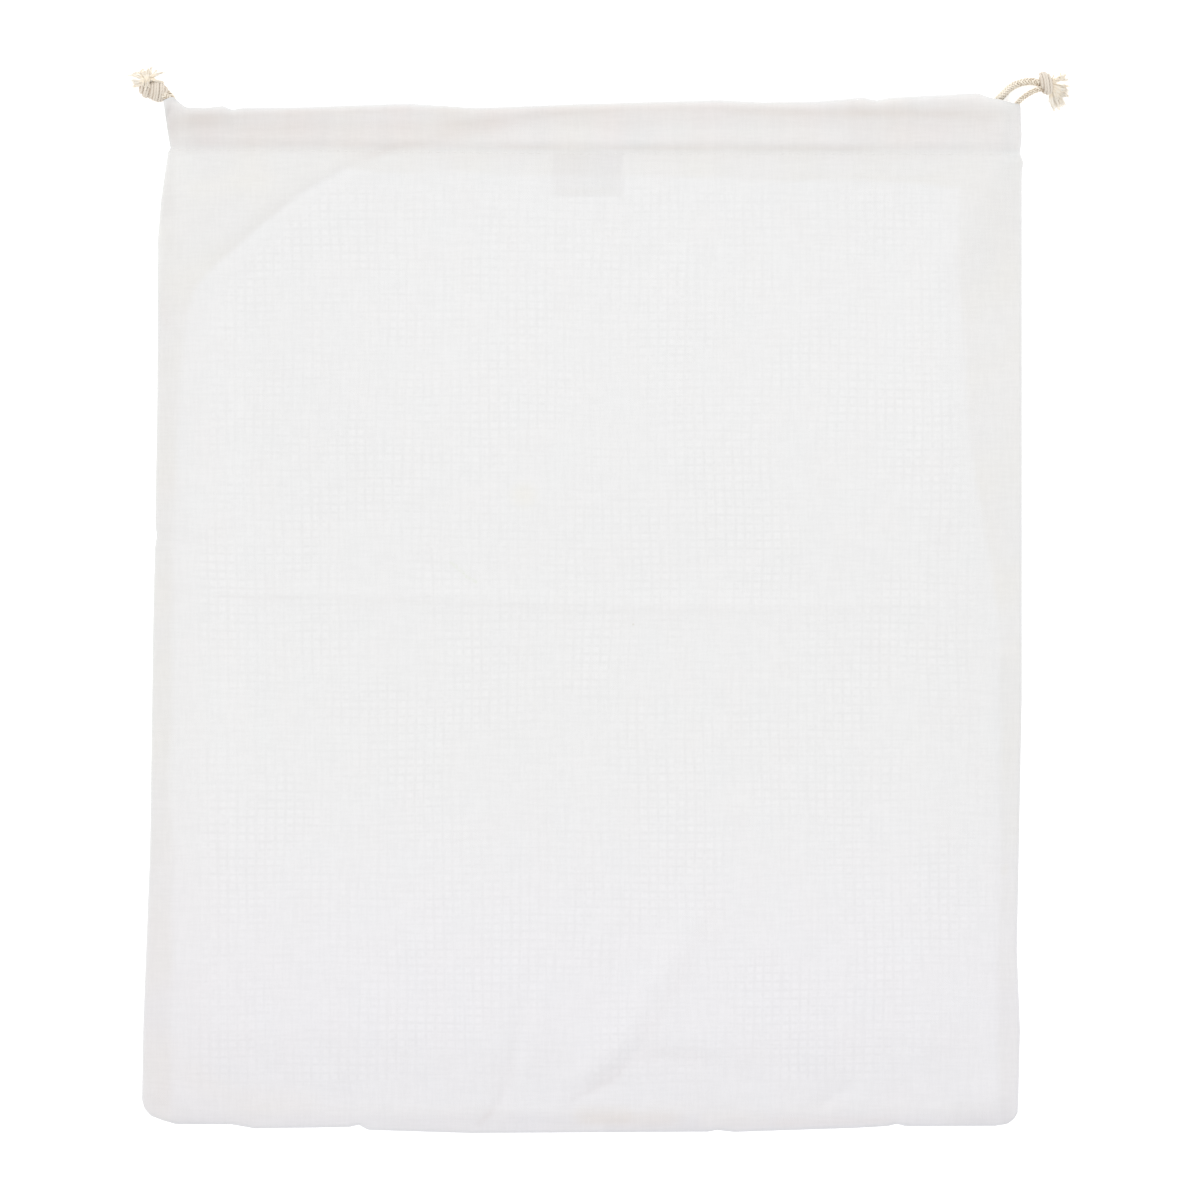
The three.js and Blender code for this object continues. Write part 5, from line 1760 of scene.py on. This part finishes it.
def segment_mask(tree, parts, start, end, half):
    """1 near a short line on the cloth, and 0 away from it."""
    (ax, ay), (bx, by) = np.array(start) * MM, np.array(end) * MM
    length = math.hypot(bx - ax, by - ay)
    ux, uy = (bx - ax) / length, (by - ay) / length
    from_x = maths(tree, "SUBTRACT", parts.outputs[0], (ax + bx) / 2)
    from_y = maths(tree, "SUBTRACT", parts.outputs[1], (ay + by) / 2)
    along = maths(tree, "ADD", maths(tree, "MULTIPLY", from_x, ux), maths(tree, "MULTIPLY", from_y, uy))
    across = maths(tree, "ADD", maths(tree, "MULTIPLY", from_x, -uy), maths(tree, "MULTIPLY", from_y, ux))
    past = maths(tree, "SUBTRACT", maths(tree, "ABSOLUTE", along), length / 2)
    past = maths(tree, "MAXIMUM", past, 0.0)
    past_square = maths(tree, "POWER", past, 2)
    across_square = maths(tree, "POWER", across, 2)
    away = maths(tree, "SQRT", maths(tree, "ADD", past_square, across_square))
    return span(tree, away, half * MM * HUSK_CORE, half * MM, 1.0, 0.0)


print("bits of husk:", len(HUSK_BITS))

# %% [markdown]
# ## The muslin
# The colour that is stored in the cloth's points is only the start. The material draws the net's yarns
# as thin dark lines where the net shows, and they drift a little as a real net does. Then it adds
# slubs, the flecks, the bit of husk and the weave.

# %% Muslin
FLECK = (0.45, 0.42, 0.28, 1.0)
FLECK_SHARE = 0.25
# How far the net's lines drift, in metres, and over how many waves to the metre
NET_DRIFT = 0.006
DRIFT_X_SCALE = 14.0
DRIFT_Y_SCALE = 11.0
# A higher power makes the yarns thinner and the holes wider
YARN_POWER = 2.5
NET_STRENGTH = 0.028
SLUB_STRENGTH = 0.032


def net_tone(tree, here, parts):
    """Lighter in the net's holes, darker on its yarns, and nothing where the net doesn't show."""
    drift_x = maths(tree, "MULTIPLY", noise(tree, here, DRIFT_X_SCALE), NET_DRIFT)
    mirrored = stretched(tree, here, (1.0, -1.0, 1.0))
    drift_y = maths(tree, "MULTIPLY", noise(tree, mirrored, DRIFT_Y_SCALE), NET_DRIFT)
    yarns = []
    for axis, pitch, drift in ((0, NET_ACROSS, drift_x), (1, NET_UP, drift_y)):
        shifted = maths(tree, "ADD", parts.outputs[axis], drift)
        turns = maths(tree, "MULTIPLY", shifted, FULL_TURN / (pitch * MM))
        wave = maths(tree, "MULTIPLY_ADD", maths(tree, "COSINE", turns), 0.5, 0.5)
        yarns.append(maths(tree, "POWER", wave, YARN_POWER))
    hole = maths(tree, "SUBTRACT", 0.5, maths(tree, "MAXIMUM", *yarns))
    uneven = span(tree, noise(tree, here, 420.0, 1.0), 0.3, 0.7, 0.4, 1.5)
    shown = maths(tree, "MULTIPLY", attribute(tree, "net"), uneven)
    return maths(tree, "MULTIPLY", hole, maths(tree, "MULTIPLY", shown, NET_STRENGTH))


def make_muslin():
    """The front's and the back band's thin cotton."""
    material, tree, shader = new_material("white_muslin", 0.92, 0.08)
    here = place(tree)
    parts = tree.nodes.new("ShaderNodeSeparateXYZ")
    tree.links.new(here, parts.inputs[0])
    net_shown = net_tone(tree, here, parts)
    cloth = use_group(tree, weave)
    slub_tone = maths(tree, "MULTIPLY_ADD", cloth.outputs["Slubs"], SLUB_STRENGTH, 1 - SLUB_STRENGTH / 2)
    colour = scaled_colour(tree, colour_attribute(tree, "tint"), maths(tree, "ADD", slub_tone, net_shown))
    spots = use_group(tree, flecks)
    spotted = maths(tree, "MULTIPLY", spots.outputs["Mask"], FLECK_SHARE)
    colour = blend_colours(tree, spotted, colour, FLECK)
    bits = [segment_mask(tree, parts, start, end, HUSK_HALF) for start, end in HUSK_BITS]
    broken = span(tree, noise(tree, here, 900.0), 0.38, 0.6, 0.08, 0.36)
    husk = maths(tree, "MULTIPLY", maths(tree, "MAXIMUM", *bits), broken)
    tree.links.new(blend_colours(tree, husk, colour, HUSK), shader.inputs["Base Color"])
    bump(tree, shader, cloth.outputs["Height"], 0.3, CLOTH_RIDGE)
    return material


muslin = make_muslin()
front.data.materials.append(muslin)
back_band.data.materials.append(muslin)
print("muslin on", front.name, "and", back_band.name)

# %% [markdown]
# ## Tape, net and thread
# The tape is woven closer than the muslin, so it has finer and stronger ribs. The net's cotton is
# thicker and softly hairy. The thread of the stitches is the brightest of the three.

# %% Tape, net and thread
TAPE_WHITE = (0.77, 0.765, 0.745)
NET_WHITE = (0.74, 0.735, 0.72)
THREAD_WHITE = (0.78, 0.77, 0.75)


def make_woven(name, colour, threads, slub, strength, tone):
    """Cotton with so many threads and slubs to the metre, ridges of a strength and an uneven tone."""
    material, tree, shader = new_material(name, 0.9, 0.08)
    cloth = use_group(tree, weave, Threads_per_metre=threads, Slub_scale=slub)
    factor = maths(tree, "MULTIPLY_ADD", cloth.outputs["Slubs"], tone, 1 - tone / 2)
    tree.links.new(scaled_colour(tree, colour, factor), shader.inputs["Base Color"])
    bump(tree, shader, cloth.outputs["Height"], strength, CLOTH_RIDGE)
    return material


label.data.materials.append(make_woven("label_tape_white", TAPE_WHITE, 2200.0, 1500.0, 0.5, 0.05))
net_piece.data.materials.append(make_woven("net_yarn", NET_WHITE, 3000.0, 2400.0, 0.6, 0.12))
stitching.data.materials.append(make_woven("sewing_thread", THREAD_WHITE, 4000.0, 3000.0, 0.4, 0.06))
print("tape, net and thread have their cotton")

# %% [markdown]
# ## Raw cotton cord
# The cords weren't bleached, so they keep the tan of the plant. The colour is deeper in the cords, paler in
# the knots, where the plies are opened, and cream with gold tips in the frays. The value stored in each
# point blends the colour towards a darker one, which is painted shade in the grooves. Noise at two scales
# varies it from strand to strand and along each strand.

# %% Cord, knot and fray
# The light colours are the cotton's own; the dark ones are what a high stored value blends to: painted shade
# in grooves, and the darker strands
CORD_LIGHT = (0.92, 0.855, 0.74, 1.0)
CORD_SHADED = (0.49, 0.38, 0.26, 1.0)
KNOT_LIGHT = (0.755, 0.69, 0.605, 1.0)
KNOT_SHADED = (0.525, 0.425, 0.335, 1.0)
FRAY_CREAM = (0.925, 0.885, 0.815, 1.0)
FRAY_GOLD = (0.875, 0.785, 0.645, 1.0)
# A higher scale makes finer noise: broad patches, single hairs and the tones of a fray
PATCH_SCALE = 700.0
CORD_HAIR_SCALE = 5200.0
KNOT_HAIR_SCALE = 6800.0
FRAY_SCALE = 500.0


def make_raw_cotton(name, light, shaded_colour, fine):
    """Raw cotton with painted shade: the higher the value stored in a strand's points, as in a groove, the
    darker it is, and that value also holds each strand's own tone.
    """
    material, tree, shader = new_material(name, 0.88, 0.12)
    here = place(tree)
    broad = noise(tree, here, PATCH_SCALE, 3.0)
    fuzz = noise(tree, stretched(tree, here, (1.0, 1.6, 1.0)), fine, 4.0, 0.65)
    uneven = maths(tree, "MULTIPLY_ADD", maths(tree, "ADD", broad, fuzz), 0.3, -0.3)
    share = maths(tree, "ADD", attribute(tree, "shade_and_tone"), uneven)
    colour = blend_colours(tree, span(tree, share, 0.05, 0.95), light, shaded_colour)
    tree.links.new(colour, shader.inputs["Base Color"])
    bump(tree, shader, fuzz, 0.4, FIBRE_RIDGE)
    return material


def make_knot_cotton():
    """The same cotton, paler, and palest where it is frayed."""
    material = make_raw_cotton("raw_cotton_knot", KNOT_LIGHT, KNOT_SHADED, KNOT_HAIR_SCALE)
    tree = material.node_tree
    shader = tree.nodes["Principled BSDF"]
    link = shader.inputs["Base Color"].links[0]
    share = maths(tree, "ADD", attribute(tree, "shade_and_tone"), noise(tree, place(tree), FRAY_SCALE))
    fray = blend_colours(tree, span(tree, share, 0.4, 1.2), FRAY_CREAM, FRAY_GOLD)
    tree.links.new(blend_colours(tree, attribute(tree, "frayed"), link.from_socket, fray), link.to_socket)
    return material


cord_cotton = make_raw_cotton("raw_cotton_cord", CORD_LIGHT, CORD_SHADED, CORD_HAIR_SCALE)
knot_cotton = make_knot_cotton()
for piece in (cord_left, cord_right):
    piece.data.materials.append(cord_cotton)
for piece in (knot_left, knot_right):
    piece.data.materials.append(knot_cotton)
print("cord and knots have their cotton")

# %% [markdown]
# ## Floor and light
# The photograph is a catalogue picture: a white ground without a visible shadow, and light so soft
# that the folds show only as faint changes. A white world does most of the lighting. One large lamp
# from the upper left gives the folds their side. The floor gives off a little light of its own, as a
# light table does, which clears the shadow under the bag's rim.

# %% Floor, light and view
WORLD_STRENGTH = 0.99
LAMP_POWER = 150.0
LAMP_PLACE = (-1.8, 4.4, 6.4)
LAMP_SIZE = 3.6
FLOOR_HALF = 12.0
FLOOR_GLOW = 0.44
WHITE = (1.0, 1.0, 1.0, 1.0)


def add_floor():
    """A white table that gives off a little light of its own."""
    mesh = bpy.data.meshes.new("floor")
    far = FLOOR_HALF
    mesh.from_pydata([(-far, -far, 0), (far, -far, 0), (far, far, 0), (-far, far, 0)], [], [(0, 1, 2, 3)])
    floor = bpy.data.objects.new("floor", mesh)
    bpy.context.scene.collection.objects.link(floor)
    material, tree, shader = new_material("white_floor", 0.9)
    grain = span(tree, noise(tree, place(tree), 3.0), 0.3, 0.7, 0.9, 0.92)
    tree.links.new(scaled_colour(tree, WHITE[:3], grain), shader.inputs["Base Color"])
    shader.inputs["Emission Color"].default_value = WHITE
    shader.inputs["Emission Strength"].default_value = FLOOR_GLOW
    floor.data.materials.append(material)
    return floor


def add_lamp():
    """One large soft lamp, turned to the middle of the bag."""
    data = bpy.data.lights.new("window_light", "AREA")
    data.shape = "DISK"
    data.size = LAMP_SIZE
    data.energy = LAMP_POWER
    lamp = bpy.data.objects.new("window_light", data)
    lamp.location = LAMP_PLACE
    away = -np.array(LAMP_PLACE)
    tilt = math.atan2(math.hypot(away[0], away[1]), -away[2])
    turn = math.atan2(away[1], away[0]) - math.pi / 2
    lamp.rotation_euler = (tilt, 0.0, turn)
    bpy.context.scene.collection.objects.link(lamp)
    return lamp


def add_world():
    """An even white sky."""
    world = bpy.data.worlds.new("soft_white")
    world.use_nodes = True
    sky = world.node_tree.nodes["Background"]
    sky.inputs["Color"].default_value = WHITE
    sky.inputs["Strength"].default_value = WORLD_STRENGTH
    bpy.context.scene.world = world


floor = add_floor()
lamp = add_lamp()
add_world()
bpy.context.scene.view_settings.view_transform = "Standard"
print("lamp", lamp.rotation_euler)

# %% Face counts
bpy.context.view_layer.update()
for one in (front, back_band, net_piece, label, stitching, cord_left, cord_right, knot_left, knot_right):
    print(one.name, len(one.data.polygons), "faces")
